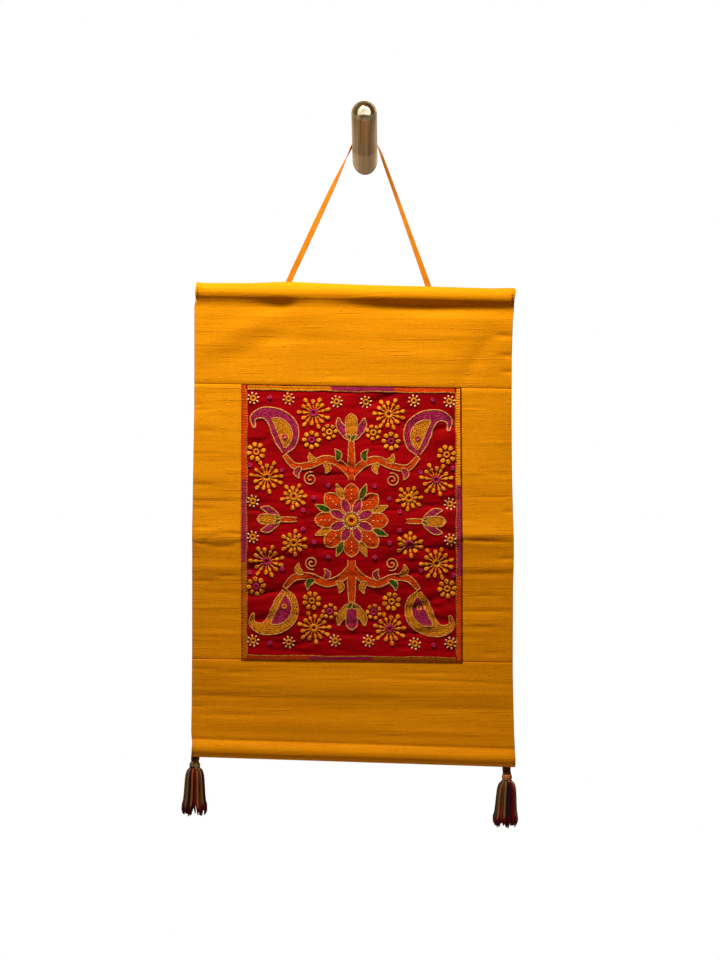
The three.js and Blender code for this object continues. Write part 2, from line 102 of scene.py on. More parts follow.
# Fine creases, in the same columns, which the solid model does without
CREASES = [
    # top band
    (90, 142, 70, 45, 3.0, 0), (-110, 183, 46, 8, -0.4, -0.42), (98, 214, 1.6, 20, -0.35, 0),
    (133, 170, 9, 3.0, -1.25, 0.06), (137, 189, 9, 2.8, -0.95, 0), (138, 204.5, 8, 2.4, -0.8, 0),
    (108, 190, 20, 14, -1.0, -1.3), (-90, 172, 70, 5, -0.5, 0.02), (-20, 190, 90, 9, 0.5, 0.03),
    (60, 168, 60, 4, 0.35, 0.02), (-148.5, 219, 1.6, 9, -0.4, 0),
    # left strip
    (-156, 241, 8, 1.7, -0.6, 0), (-160, 236, 4, 1.6, -0.4, 0), (-152, 260, 9, 3, -0.5, 0),
    (-150, 282, 14, 1.6, -0.3, 0), (-155, 312, 12, 2.4, -0.7, 0), (-142, 328, 26, 1.7, -0.6, 0.02),
    (-154, 335, 11, 2.2, -0.6, 0), (-156, 352.6, 9, 1.7, -0.75, 0), (-155, 368.2, 9, 1.7, -0.6, 0.1),
    (-136, 371, 15, 2.2, -0.6, 0), (-121, 367, 8, 2.0, -0.6, -0.3), (-125, 358.6, 10, 2.0, -0.85, 0.06),
    (-146, 362.5, 7, 2.2, -0.5, -0.6), (-141, 363.5, 30, 2.5, 0.3, 0), (-140, 391, 30, 3.2, 0.4, 0),
    (-130, 399, 9, 1.7, -0.6, 0), (-156, 404, 11, 1.6, -0.5, 0), (-148, 429, 17, 1.5, 0.35, 0),
    (-137, 415, 22, 2.5, -0.3, 0.04), (-146, 457, 20, 2.0, -0.3, -0.03),
    # right strip
    (101, 238.5, 12, 1.6, -0.5, 0), (127, 272, 16, 1.7, 0.4, 0), (120, 324, 18, 1.6, -0.5, 0),
    (137, 338, 5, 2.2, -0.7, 0), (112, 365.5, 28, 2.0, -1.0, 0.04), (112, 359.5, 28, 2.8, 0.6, -0.02),
    (134, 382.6, 8, 2.0, -0.7, 0), (117, 397, 28, 3.2, -1.0, 0), (115, 418, 13, 1.6, -0.5, 0),
    (117, 433, 26, 1.6, -0.6, 0), (112, 448, 15, 2.2, -0.6, 0), (122, 473, 8, 2.2, -0.5, 0),
    (131, 302, 12, 2.4, -0.4, 0.05), (104, 300, 9, 2.4, 0.3, 0),
    # bottom band
    (-155, 488, 12, 1.6, -0.5, 0), (-121, 491.5, 13, 2.0, -0.6, 0), (-99, 503.7, 20, 1.3, 0.35, 0),
    (-135, 514, 36, 3.2, -0.8, 0.02), (-160, 524, 7, 1.6, -0.6, 0), (-120, 532, 44, 3.0, -0.6, 0.03),
    (-12, 556, 10, 2.4, -1.0, 0), (58, 492, 24, 1.6, -0.5, 0), (74, 499.5, 70, 1.5, -0.5, 0.045),
    (96, 526, 60, 4.0, -0.7, 0.03), (20, 517, 70, 3.0, -0.4, 0.02), (70, 548, 70, 3.5, 0.6, 0.03),
]


def height_of(line, x):
    """Height of a seam or a rod, which drops a little towards the right."""
    return line[0] + (line[1] - line[0]) * (x - SIDE_LEFT) / (SIDE_RIGHT - SIDE_LEFT)


def left_side(z):
    return np.interp(-z, SIDE_EDGES[:, 0], SIDE_EDGES[:, 1])


def right_side(z):
    return np.interp(-z, SIDE_EDGES[:, 0], SIDE_EDGES[:, 2])


def panel_right(z):
    share = (z - TOP_SEAM[1]) / (BOTTOM_SEAM[1] - TOP_SEAM[1])
    return PANEL_RIGHT[0] + (PANEL_RIGHT[1] - PANEL_RIGHT[0]) * share


def forward_of(rows, x, z):
    """How far a table of folds brings the cloth forward at a place."""
    forward = np.zeros_like(x)
    for across, down, half_length, half_width, rise, slope in rows:
        along = (x - across) / half_length
        over = (z + down + slope * (x - across)) / half_width
        forward += rise * np.exp(-along * along - over * over)
    return forward


def gathers(count, *columns):
    """Small folds at random places, in the columns of the tables above, each column between two limits."""
    return [tuple(chance.uniform(*limits) for limits in columns) for _ in range(count)]


# Gathers that the stitching draws in the red cloth: many short level ones, and some broader ones on a slant
# that lie closer together towards the foot
SHORT_GATHERS = gathers(150, (-116, 91), (222, 478), (7, 24), (1.4, 2.7), (-0.95, 0.5), (-0.12, 0.12))
BROAD_GATHERS = gathers(90, (-116, 91), (0, 1), (9, 26), (2.8, 4.6), (-2.3, 1.0), (-0.5, 0.3))
PUCKERS = SHORT_GATHERS + [
    (across, 222 + 256 * math.sqrt(share), *rest) for across, share, *rest in BROAD_GATHERS
]
SILK_PUCKERS = gathers(120, (-165, 142), (140, 560), (10, 50), (1.6, 4.0), (-0.29, 0.29), (-0.03, 0.05))


def silk_forward(x, z):
    return forward_of(FOLDS + CREASES + SILK_PUCKERS, x, z)


def panel_forward(x, z):
    """The red cloth follows the silk at its seams and has its own gathers inside them."""
    to_side = np.minimum(x - PANEL_LEFT, panel_right(z) - x)
    to_end = np.minimum(z - height_of(BOTTOM_SEAM, x), height_of(TOP_SEAM, x) - z)
    to_seam = np.minimum(to_side, to_end)
    within = np.clip(to_seam / 9, 0, 1)
    return (forward_of(FOLDS, x, z) + within * forward_of(PUCKERS, x, z)
            + (1 - within) * forward_of(CREASES + SILK_PUCKERS, x, z) + 0.3 * np.clip(to_seam, 0, 1))


# Meshes

def put_in_scene(name, data):
    thing = bpy.data.objects.new(name, data)
    bpy.context.scene.collection.objects.link(thing)
    return thing


def finished(name, mesh, material):
    mesh.materials.append(material)
    mesh.shade_smooth()
    piece = put_in_scene(name, mesh)
    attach(piece, "root")
    return piece


def outward(work, mesh):
    """Turns the faces outwards and hands the shape over to its mesh."""
    bmesh.ops.recalc_face_normals(work, faces=work.faces)
    work.to_mesh(mesh)
    work.free()


def grid_places(mesh, across, along):
    """The column and the row of each corner of a mesh made of grids."""
    flat = np.empty(len(mesh.vertices) * 3)
    mesh.vertices.foreach_get("co", flat)
    flat = flat.reshape(-1, 3)
    column = np.rint((flat[:, 0] + 0.5) * across).astype(int)
    row = np.rint((flat[:, 1] + 0.5) * along).astype(int)
    return column, row


def grid_mesh(name, across, along, place, closed=False):
    """A grid whose corner in column i and row j lies at place(i, j). closed joins its sides."""
    mesh = bpy.data.meshes.new(name)
    work = bmesh.new()
    bmesh.ops.create_grid(work, x_segments=across, y_segments=along, size=0.5)
    work.to_mesh(mesh)
    column, row = grid_places(mesh, across, along)
    mesh.vertices.foreach_set("co", (np.asarray(place(column, row)) * MM).T.ravel())
    mesh.update()
    work.clear()
    work.from_mesh(mesh)
    if closed:
        bmesh.ops.remove_doubles(work, verts=work.verts, dist=1e-6)
        bmesh.ops.holes_fill(work, edges=work.edges, sides=0)
    outward(work, mesh)
    return mesh


def thicken(piece, thickness):
    solid = piece.modifiers.new("thickness", "SOLIDIFY")
    solid.thickness = thickness * MM
    solid.offset = 0


def set_shades(mesh, tones):
    """Gives each corner the tone of the stitch or the strand that it is on."""
    shade = mesh.attributes.new("shade", "FLOAT", "POINT")
    shade.data.foreach_set("value", tones.astype(np.float32))


def unit(vectors):
    return vectors / np.linalg.norm(vectors, axis=-1, keepdims=True)


def smooth_path(points, per_span):
    """Points on the smooth curve through the given ones."""
    given = np.array(points, float)
    given = np.vstack([2 * given[0] - given[1], given, 2 * given[-1] - given[-2]])
    gaps = np.sqrt(np.linalg.norm(np.diff(given, axis=0), axis=1))
    out = []
    for i in range(1, len(given) - 2):
        before, here, there, after = given[i - 1:i + 3]
        a, b, c = gaps[i - 1:i + 2]
        leave = ((here - before) / a - (there - before) / (a + b) + (there - here) / b) * b
        arrive = ((there - here) / b - (after - here) / (b + c) + (after - there) / c) * b
        for t in np.arange(per_span) / per_span:
            out.append((2 * t**3 - 3 * t**2 + 1) * here + (t**3 - 2 * t**2 + t) * leave
                       + (3 * t**2 - 2 * t**3) * there + (t**3 - t**2) * arrive)
    return np.array(out + [given[-2]])


def reaches(steps):
    """How far along a path each of its points lies."""
    return np.concatenate([[0], np.cumsum(steps)])


def even_steps(length, step):
    return np.linspace(0, length, max(2, int(round(length / step)) + 1))


def evenly(path, step):
    """The same path at even steps."""
    reach = reaches(np.linalg.norm(np.diff(path, axis=0), axis=1))
    at = even_steps(reach[-1], step)
    return np.column_stack([np.interp(at, reach, path[:, k]) for k in range(path.shape[1])])


# Materials

def rgb(*seen):
    """A colour given as it is seen: red, green and blue from 0 to 255."""
    linear = [v / 255 / 12.92 if v <= 10 else ((v / 255 + 0.055) / 1.055) ** 2.4 for v in seen]
    return (*linear, 1)


def new_node(tree, kind, inputs=(), **settings):
    """A node with its settings. Each input is a plain value or another node's output."""
    node = tree.nodes.new(kind)
    for key, value in settings.items():
        setattr(node, key, value)
    for key, value in dict(inputs).items():
        if isinstance(value, bpy.types.NodeSocket):
            tree.links.new(value, node.inputs[key])
        else:
            node.inputs[key].default_value = value
    return node


class Finish:
    """A material under construction."""

    def __init__(self, name, roughness, **constants):
        self.material = bpy.data.materials.new(name)
        self.material.use_nodes = True
        self.tree = self.material.node_tree
        self.shader = self.tree.nodes["Principled BSDF"]
        self.shader.inputs["Roughness"].default_value = roughness
        for key, value in constants.items():
            self.shader.inputs[key.replace("_", " ")].default_value = value
        self.place = self.add("ShaderNodeTexCoord").outputs["Object"]

    def add(self, kind, inputs=(), **settings):
        return new_node(self.tree, kind, inputs, **settings)

    def noise(self, scale, detail, roughness, source=None):
        """Noise with its own number of grains to the metre along X, Y and Z, from 0 to 1."""
        spread = self.add("ShaderNodeMapping", {"Vector": source or self.place, "Scale": scale})
        return self.add("ShaderNodeTexNoise", {
            "Vector": spread.outputs["Vector"], "Scale": 1.0, "Detail": detail, "Roughness": roughness,
        }).outputs["Fac"]

    def ramp(self, factor, stops):
        """Colours at places from 0 to 1."""
        node = self.add("ShaderNodeValToRGB", {"Fac": factor})
        while len(node.color_ramp.elements) < len(stops):
            node.color_ramp.elements.new(1.0)
        for element, (at, colour) in zip(node.color_ramp.elements, stops):
            element.position = at
            element.color = colour
        return node.outputs["Color"]

    def greys(self, factor, *stops):
        """Greys at places from 0 to 1."""
        return self.ramp(factor, [(at, (value, value, value, 1)) for at, value in stops])

    def between(self, value, start, end):
        """Rises from 0 at start to 1 at end."""
        limits = {"Value": value, "From Min": start, "From Max": end}
        return self.add("ShaderNodeMapRange", limits).outputs["Result"]

    def math(self, kind, first, second):
        return self.add("ShaderNodeMath", {0: first, 1: second}, operation=kind).outputs["Value"]

    def total(self, *parts):
        """The sum of some patterns, each times its share."""
        products = [self.math("MULTIPLY", pattern, share) for pattern, share in parts]
        out = products[0]
        for product in products[1:]:
            out = self.math("ADD", out, product)
        return out

    def mix(self, kind, factor, first, second):
        """Two colours mixed, through the sockets that the node's kind leaves in use."""
        node = self.add("ShaderNodeMix", data_type="RGBA", blend_type=kind)
        sockets = [socket for socket in node.inputs if socket.enabled]
        for socket, value in zip(sockets, (factor, first, second)):
            if isinstance(value, bpy.types.NodeSocket):
                self.tree.links.new(value, socket)
            else:
                socket.default_value = value
        return next(socket for socket in node.outputs if socket.enabled)

    def colour(self, socket):
        self.tree.links.new(socket, self.shader.inputs["Base Color"])

    def rough(self, socket):
        self.tree.links.new(socket, self.shader.inputs["Roughness"])

    def bump(self, height, distance):
        node = self.add("ShaderNodeBump", {"Height": height, "Distance": distance * MM, "Strength": 1.0})
        self.tree.links.new(node.outputs["Normal"], self.shader.inputs["Normal"])


SILK_GLOSS = {
    "Sheen_Weight": 0.12, "Sheen_Roughness": 0.35, "Sheen_Tint": (1, 0.5, 0.06, 1),
    "Specular_IOR_Level": 0.12, "Specular_Tint": (1, 0.6, 0.1, 1),
}


def slubbed_silk(name, dark, middle, light):
    """Raw silk: an even ground of fine level threads, here and there a thicker one."""
    finish = Finish(name, 0.6, **SILK_GLOSS)
    streaks = finish.noise((14, 14, 520), 4, 0.65)
    cloud = finish.noise((9, 9, 26), 3, 0.55)
    slubs = finish.noise((16, 16, 430), 1, 0.4)
    threads = finish.noise((120, 120, 2300), 1, 0.5)
    upright = finish.noise((2000, 2000, 60), 1, 0.5)
    nubs = finish.noise((150, 150, 560), 1, 0.5)
    grain = finish.noise((620, 620, 900), 2, 0.6)
    thick = finish.greys(slubs, (0.67, 0), (0.74, 1))
    lump = finish.greys(nubs, (0.68, 0), (0.76, 1))
    tone = finish.total((streaks, 0.55), (cloud, 0.45))
    base = finish.ramp(tone, [(0.34, dark), (0.5, middle), (0.66, light)])
    base = finish.mix("MULTIPLY", 0.3, base, finish.greys(threads, (0.3, 0.72), (0.6, 1)))
    base = finish.mix("MULTIPLY", 0.16, base, finish.greys(upright, (0.35, 0.6), (0.6, 1)))
    base = finish.mix("MULTIPLY", 0.22, base, finish.greys(grain, (0.36, 0.62), (0.56, 1)))
    base = finish.mix("MULTIPLY", thick, base, (0.93, 0.88, 0.8, 1))
    finish.colour(base)
    relief = ((streaks, 0.42), (threads, 0.3), (upright, 0.14), (thick, 0.4), (lump, 0.8), (grain, 0.5))
    finish.bump(finish.total(*relief), 0.36)
    return finish.material


def folded_silk(name, dark, light):
    """The same silk cut across and folded, so that its threads no longer show. Browner towards the peg."""
    finish = Finish(name, 0.62, **SILK_GLOSS)
    grain = finish.noise((1500, 1500, 1500), 2, 0.6)
    cloud = finish.noise((120, 120, 120), 2, 0.5)
    base = finish.ramp(finish.total((grain, 0.5), (cloud, 0.5)), [(0.35, dark), (0.65, light)])
    height = finish.add("ShaderNodeSeparateXYZ", {"Vector": finish.place}).outputs["Z"]
    finish.colour(finish.mix("MULTIPLY", finish.between(height, -0.11, -0.04), base, (0.86, 0.8, 1, 1)))
    finish.bump(grain, 0.08)
    return finish.material


def woven_cloth(name, dark, middle, light):
    """Smooth close-woven cloth with small gathers."""
    finish = Finish(name, 0.65, Sheen_Weight=0.06, Sheen_Roughness=0.5, Sheen_Tint=(1, 0.1, 0.06, 1),
                    Specular_IOR_Level=0.12, Specular_Tint=(1, 0.2, 0.12, 1))
    cloud = finish.noise((20, 20, 46), 3, 0.55)
    drawn = finish.noise((50, 50, 210), 2, 0.5)
    weft = finish.noise((300, 300, 2600), 1, 0.5)
    warp = finish.noise((2600, 2600, 300), 1, 0.5)
    tone = finish.total((cloud, 0.75), (drawn, 0.25))
    finish.colour(finish.ramp(tone, [(0.36, dark), (0.5, middle), (0.64, light)]))
    finish.bump(finish.total((drawn, 0.9), (weft, 0.1), (warp, 0.1)), 0.8)
    return finish.material


def thread(name, dark, light):
    """Stitching thread: each stitch has its own tone."""
    finish = Finish(name, 0.6, Sheen_Weight=0.12, Sheen_Roughness=0.4, Sheen_Tint=light,
                    Specular_IOR_Level=0.16, Specular_Tint=light)
    shade = finish.add("ShaderNodeAttribute", attribute_name="shade").outputs["Fac"]
    fibres = finish.noise((2200, 2200, 2200), 2, 0.6)
    finish.colour(finish.ramp(finish.total((shade, 0.65), (fibres, 0.35)), [(0.15, dark), (0.75, light)]))
    finish.bump(fibres, 0.25)
    return finish.material


SILK = slubbed_silk("golden_raw_silk", rgb(223, 137, 6), rgb(233, 146, 7), rgb(242, 154, 9))
CORD_SILK = folded_silk("cord_silk", rgb(188, 108, 14), rgb(212, 130, 22))
RED = woven_cloth("deep_red_cloth", rgb(128, 0, 5), rgb(150, 0, 8), rgb(163, 1, 11))


# Hanging cord: across, depth, height, and its turn: 0 lies flat on the peg, 1 or -1 faces the front
CORD_ROUTE = [
    (-78.6, -5.3, -136.4, 1), (-77.8, -3.4, -133.4, 1), (-76.8, -2.3, -129.0, 1), (-75.4, -2.6, -124.0, 1),
    (-73.0, -3.4, -117.0, 1), (-57.8, -4.8, -84.5, 0.88), (-42.6, -6.2, -52.0, 0.7),
    (-27.3, -7.6, -19.5, 0.5), (-16.8, -8.6, 2.8, 0.22), (-11.8, -9.0, 13.0, 0), (-8.6, -9.0, 17.5, 0),
    (-4.6, -9.0, 20.2, 0), (-0.2, -9.0, 21.1, 0), (4.3, -9.0, 20.2, 0), (8.5, -9.0, 17.3, 0),
    (12.4, -9.0, 11.6, -0.3), (20.0, -8.2, -8.5, -0.62), (32.2, -6.8, -42.0, -0.72),
    (46.7, -5.1, -82.3, -0.85), (60.7, -3.4, -121.5, -1), (62.3, -2.6, -127.0, -1),
    (63.3, -2.3, -131.6, -1), (64.1, -3.4, -136.0, -1), (64.7, -5.3, -139.0, -1),
]
CORD = {"width": 5.5, "thickness": 1.2, "length": 357}


def rounded(wave, power):
    """A wave with its crests broadened."""
    return np.sign(wave) * np.abs(wave) ** power


def hanging_cord():
    """A strip folded and pressed flat, thicker at its fold edges and drawn narrow on the right."""
    path = smooth_path(CORD_ROUTE, 8)
    line, turn = path[:, :3], path[:, 3:]
    heading = unit(np.gradient(line, axis=0))
    wide = (1 - np.abs(turn)) * [0, -math.cos(PEG["tilt"]), math.sin(PEG["tilt"])] + turn * [1, 0, 0]
    wide = unit(wide - heading * np.sum(wide * heading, axis=1, keepdims=True))
    thick = np.cross(heading, wide)
    narrow = np.interp(line[:, 2], (-120, -82, -42, -8, 10, 18), (1, 0.86, 0.72, 0.62, 0.62, 1))
    half_width = CORD["width"] / 2 * np.where(line[:, 0] > 0, narrow, 1)
    sides = 20

    def place(column, row):
        bearing = column / sides * 2 * math.pi
        out = rounded(np.cos(bearing), 0.55) * half_width[row]
        up = rounded(np.sin(bearing), 0.6) * CORD["thickness"] / 2
        up = up * (0.45 + 0.55 * np.abs(np.cos(bearing)))
        return (line[row] + wide[row] * out[:, None] + thick[row] * up[:, None]).T

    mesh = grid_mesh("hanging_cord_silk", sides, len(line) - 1, place, closed=True)
    piece = finished("hanging_cord_silk", mesh, CORD_SILK)
    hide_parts("hanging_cord")


hanging_cord()


# Cloth

LAYER = 0.4             # thickness of the silk as it shows
TURN = 0.42             # radius at a turned edge
SLEEVE_RADIUS = 7.9     # from a rod's middle to the silk round it
ROLL_RADIUS = 8.15      # the same to the outside of the solid model's roll
HANGS_FROM = 14         # distance below a rod's middle where the cloth hangs flat again
SEAM_REACH = 1.6        # how near a seam the cloth begins to dip into it
SEAM_DIP = 0.45
SLEEVE_HEM = [(2.2, -10.2), (1.2, -13), (1.1, -24.6), (0.8, -25.1), (0.6, -24.6), (0.6, -19)]


def edge_turn(width):
    """Places past an edge, where the cloth is turned back: shift past the edge, and depth under it."""
    bend = [(TURN * math.sin(a) - TURN, TURN * (1 - math.cos(a))) for a in np.linspace(0, math.pi, 6)[1:]]
    under = [(-TURN - t, 2 * TURN) for t in np.linspace(0, width, max(3, int(width / 2.5)))[1:]]
    return bend + under


def stations(count, before, after):
    """Columns of a cloth, closer near its edges: share of the width, shift, and depth under the face."""
    columns = [(0, -shift, under) for shift, under in reversed(edge_turn(before))]
    first = [share / count for share in (0, 0.2, 0.45, 0.75)]
    for share in first + [i / count for i in range(1, count)] + [1 - share for share in reversed(first)]:
        columns.append((share, TURN * (1 - 2 * share) if share in (0, 1) else 0, 0))
    columns += [(1, shift, under) for shift, under in edge_turn(after)]
    return np.array(columns)


def near(distance):
    """From 1 at a seam to 0 a little away from it."""
    return np.exp(-(distance / SEAM_REACH) ** 2)


def hung_cloth(name, node, mesh, material):
    piece = finished(name, mesh, material)
    thicken(piece, LAYER)
    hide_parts(node)


def flat_cloth(name, node, counts, turned, left_at, right_at, forward, material):
    """Cloth sewn in between others, turned back so far at its left, right, foot and top."""
    columns = stations(counts[0], turned[0], turned[1])
    rows = stations(counts[1], turned[2], turned[3])

    def place(column, row):
        share, shift, under = columns[column].T
        rise, lift, beneath = rows[row].T
        rough = BOTTOM_SEAM[0] + (TOP_SEAM[0] - BOTTOM_SEAM[0]) * rise
        x = left_at(rough) + (right_at(rough) - left_at(rough)) * share + shift
        foot = height_of(BOTTOM_SEAM, x) + SLIT / 2
        head = height_of(TOP_SEAM, x) - SLIT / 2
        z = foot + (head - foot) * rise + lift
        x = left_at(z) + (right_at(z) - left_at(z)) * share + shift
        dip = SEAM_DIP * (near(z - foot) + near(head - z))
        return x, HANG_DEPTH - forward(x, z) + under + beneath + dip, z

    mesh = grid_mesh(name, len(columns) - 1, len(rows) - 1, place)
    hung_cloth(name, node, mesh, material)


def sleeve_section(seam_below, front, first_turn):
    """Depth and height of the cloth from the seam up the front, round the rod and behind to the hem."""
    turns = np.radians(np.linspace(first_turn, -412, 30))
    around = [(SLEEVE_RADIUS * math.cos(a), SLEEVE_RADIUS * math.sin(a)) for a in turns]
    return evenly(np.array([(0, -seam_below)] + front + around + SLEEVE_HEM, float), 1.25)


def sleeved_band(name, node, rod_line, seam_line, upward, front, first_turn):
    """A band from its seam to the sleeve at its end, which is upward (1) or downward (-1)."""
    lifted = upward > 0
    seam_below = abs(rod_line[0] - seam_line[0])
    section = sleeve_section(seam_below, front, first_turn)
    inward = np.gradient(section, axis=0)
    inward = unit(np.column_stack([inward[:, 1], -inward[:, 0]]))
    behind = np.argmax(section[:, 1])    # rows from here on lie behind the rod
    under_seam = edge_turn(9)
    columns = stations(112, 10, 10)

    def place(column, row):
        share, shift, under = columns[column].T
        tucked = np.array(under_seam[::-1] + [(-TURN, 0)] + [(0, 0)] * (len(section) - 1))[row]
        on = np.maximum(row - len(under_seam), 0)
        depth = section[on, 0] + inward[on, 0] * under + tucked[:, 1]
        up = section[on, 1] + inward[on, 1] * under - tucked[:, 0]
        x = SIDE_LEFT + (SIDE_RIGHT - SIDE_LEFT) * share
        below = -up
        for _ in range(2):
            rod_height = height_of(rod_line, x)
            seam_height = height_of(seam_line, x) + upward * SLIT / 2
            flat_top = rod_height - upward * HANGS_FROM
            flat_share = (below - HANGS_FROM) / (seam_below - HANGS_FROM)
            crown = np.interp(x, CROWN_LIFT[:, 0], CROWN_LIFT[:, 1]) * np.clip(up / ROLL_RADIUS, 0, 1)
            rolled = rod_height + upward * up + crown * lifted
            z = np.where(below > HANGS_FROM, flat_top + (seam_height - flat_top) * flat_share, rolled)
            x = left_side(z) + (right_side(z) - left_side(z)) * share + shift
        off_rod = np.clip((below - 10) / 12, 0, 1)
        throat = np.interp(x, TOP_THROAT[:, 0], TOP_THROAT[:, 1]) * lifted
        throat = throat * np.interp(below, THROAT_FADE[:, 0], THROAT_FADE[:, 1])
        at_seam = (SEAM_DIP if lifted else 0.1) * near(below - seam_below)
        to_end = np.minimum(x - left_side(z), right_side(z) - x)
        pinch = 1.3 * np.clip(1 - to_end / 4.5, 0, 1) ** 1.5 * np.clip((11 - below) / 4, 0, 1) * (depth < 0)
        folds = silk_forward(x, z) * off_rod
        return x, HANG_DEPTH + depth + pinch - folds - throat * (on < behind) + at_seam, z

    mesh = grid_mesh(name, len(columns) - 1, len(section) + len(under_seam) - 1, place)
    hung_cloth(name, node, mesh, SILK)


sleeved_band("silk_top_band", "top_band", TOP_ROD, TOP_SEAM, 1,
             [(0, -15), (-0.5, -12.4), (-2.0, -9.6)], -128)
flat_cloth("silk_left_strip", "left_strip", (20, 216), (12, 8, 8, 8), left_side,
           lambda z: PANEL_LEFT - SLIT / 2, silk_forward, SILK)
flat_cloth("silk_right_strip", "right_strip", (20, 216), (8, 12, 8, 8), lambda z: panel_right(z) + SLIT / 2,
           right_side, silk_forward, SILK)
flat_cloth("red_panel", "embroidered_panel", (88, 216), (8, 8, 8, 8), lambda z: PANEL_LEFT + SLIT / 2,
           lambda z: panel_right(z) - SLIT / 2, panel_forward, RED)
sleeved_band("silk_bottom_band", "bottom_band", BOTTOM_ROD, BOTTOM_SEAM, -1,
             [(0, -60), (-0.4, -42), (-1.5, -25), (-3.0, -13.4), (-3.1, -11.4), (-2.7, -9.6), (-5.0, -6.9)],
             -150)


# Embroidery
# Places on the red panel are complex numbers, across and up from its middle.

HALF_WIDE, HALF_HIGH = 105.3, 131.2
FILL_ROW, FILL_LENGTH = 1.02, 2.7       # rows of filling stitches, and how long each stitch is
THREADS = {colour: thread(f"{colour}_thread", rgb(*dark), rgb(*light)) for colour, dark, light in (
    ("tan", (184, 118, 52), (230, 166, 90)), ("orange", (206, 56, 6), (242, 88, 20)),
    ("purple", (138, 26, 64), (198, 56, 104)), ("gold", (196, 115, 14), (240, 158, 36)),
    ("yellow", (238, 138, 6), (255, 170, 18)), ("green", (18, 62, 14), (54, 116, 34)),
    ("cream", (216, 178, 112), (250, 230, 180)), ("brown", (84, 38, 8), (124, 62, 14)),
    ("rust", (140, 40, 8), (184, 60, 16)), ("olive", (136, 84, 24), (190, 128, 50)),
    ("bronze", (174, 94, 10), (214, 128, 22)), ("umber", (122, 60, 6), (156, 84, 14)),
    ("plum", (118, 10, 40), (160, 30, 62)),
)}
sewn = {colour: [] for colour in THREADS}
joined = []      # outlines of the stems, which run into one another


def stitch(colour, start, end, width, height=None, uneven=1.0):
    sewn[colour].append((start.real, start.imag, end.real, end.imag, width, height or width * 0.8, uneven))


def curve(points):
    """The smooth curve through some places, at steps of 0.45 mm."""
    path = evenly(smooth_path([(point.real, point.imag) for point in points], 10), 0.45)
    return path[:, 0] + 1j * path[:, 1]


def inside(place, outline):
    """Whether a place lies within a closed outline."""
    rise = (outline.imag > place.imag) != (np.roll(outline, 1).imag > place.imag)
    here, there = outline[rise], np.roll(outline, 1)[rise]
    across = here.real + (place.imag - here.imag) / (there.imag - here.imag) * (there.real - here.real)
    return np.count_nonzero(across > place.real) % 2 == 1


def rope(path, colour="tan", width=1.8, pitch=1.8, skip=()):
    """A line of stem stitch: slanted stitches, each half over the one before."""
    reach = reaches(np.abs(np.diff(path)))
    line = np.interp(even_steps(reach[-1], pitch), reach, path)
    for here, there in zip(line, line[1:]):
        on = there - here
        if any(inside((here + there) / 2, other) for other in skip):
            continue
        aside = on / max(abs(on), 1e-6) * 1j * width * 0.16
        stitch(colour, here - 0.25 * on - aside, there + 0.25 * on + aside, width * 0.86, width * 0.68)


def clear(outline, colours):
    """Take out the stitches that a new shape would cover."""
    for colour in colours:
        kept = []
        for row in sewn[colour]:
            middle = complex(row[0] + row[2], row[1] + row[3]) / 2
            across = outline.real.min() < middle.real < outline.real.max()
            if across and outline.imag.min() < middle.imag < outline.imag.max() and inside(middle, outline):
                continue
            kept.append(row)
        sewn[colour] = kept


def shape(points, halves, fill, to, edge_width=1.8, joins=False):
    """A filled shape along a spine, with its half width at even parts of it, edged with stem stitch."""
    spine = curve([to(point) for point in points])
    widths = smooth_path([(i / (len(halves) - 1), half) for i, half in enumerate(halves)], 8)
    half = np.maximum(np.interp(np.linspace(0, 1, len(spine)), widths[:, 0], widths[:, 1]), 0.05)
    across = np.gradient(spine)
    across = across / np.abs(across) * 1j
    outline = np.concatenate([(spine + across * half), (spine - across * half)[::-1]])
    clear(outline, ("tan",) if joins else THREADS)
    others = joined[:] if joins else []
    inner = half - edge_width * 0.45
    reach = reaches(np.abs(np.diff(spine)))
    for station in np.arange(FILL_LENGTH * 0.3, reach[-1], FILL_LENGTH * 0.82):
        count = int(round(2 * np.interp(station, reach, inner) / FILL_ROW))
        for i in range(count):
            middle = station + (FILL_LENGTH * 0.41 if i % 2 else 0)
            lie = -1 + (2 * i + 1) / count
            ends = []
            for at in (middle - FILL_LENGTH / 2, middle + FILL_LENGTH / 2):
                at = min(max(at, 0), reach[-1])
                aside = np.interp(at, reach, across) * lie * max(np.interp(at, reach, inner), 0)
                ends.append(np.interp(at, reach, spine) + aside)
            if abs(ends[1] - ends[0]) > 0.6 and not any(inside(sum(ends) / 2, other) for other in others):
                stitch(fill, ends[0], ends[1], FILL_ROW * 1.12, 0.75)
    rope(outline, "tan", edge_width, skip=others)
    if joins:
        joined.append(outline)


def rays(count, turn=0.0):
    """Directions evenly round."""
    return [cmath.rect(1, turn + i * 2 * math.pi / count) for i in range(count)]


def drop(base, way, length, half):
    """One long chain stitch in gold, drawn close, with its tying stitch at the wide end."""
    for side in (1j, -1j):
        stitch("gold", base, base + way * (length * 0.94 + side * half * 0.62), half * 1.1, half * 0.66)
    tie = base + way * (length * 0.55 + 1j * half * 0.1)
    stitch("gold", tie, base + way * length, half * 1.25, half * 0.72)


def ring(at, radius, colour, hollow=0.34):
    """A wheel of buttonhole stitch round a small hole."""
    for way in rays(max(9, int(2 * math.pi * radius * 0.72 / 0.8))):
        stitch(colour, at + way * radius * hollow, at + way * radius, 1.15, 1.5)


def dot(at):
    """A small round knot of seven short stitches."""
    for way in rays(7, 0.3):
        stitch("purple", at + way * 0.1, at + way * 2.64, 1.7, 1.7)


def sun(at):
    ring(at, 3.5, "gold", 0.28)
    for way in rays(8, 0.2):
        stitch("cream", at + way * 3.7, at + way * 6.2, 1.9, 1.3)


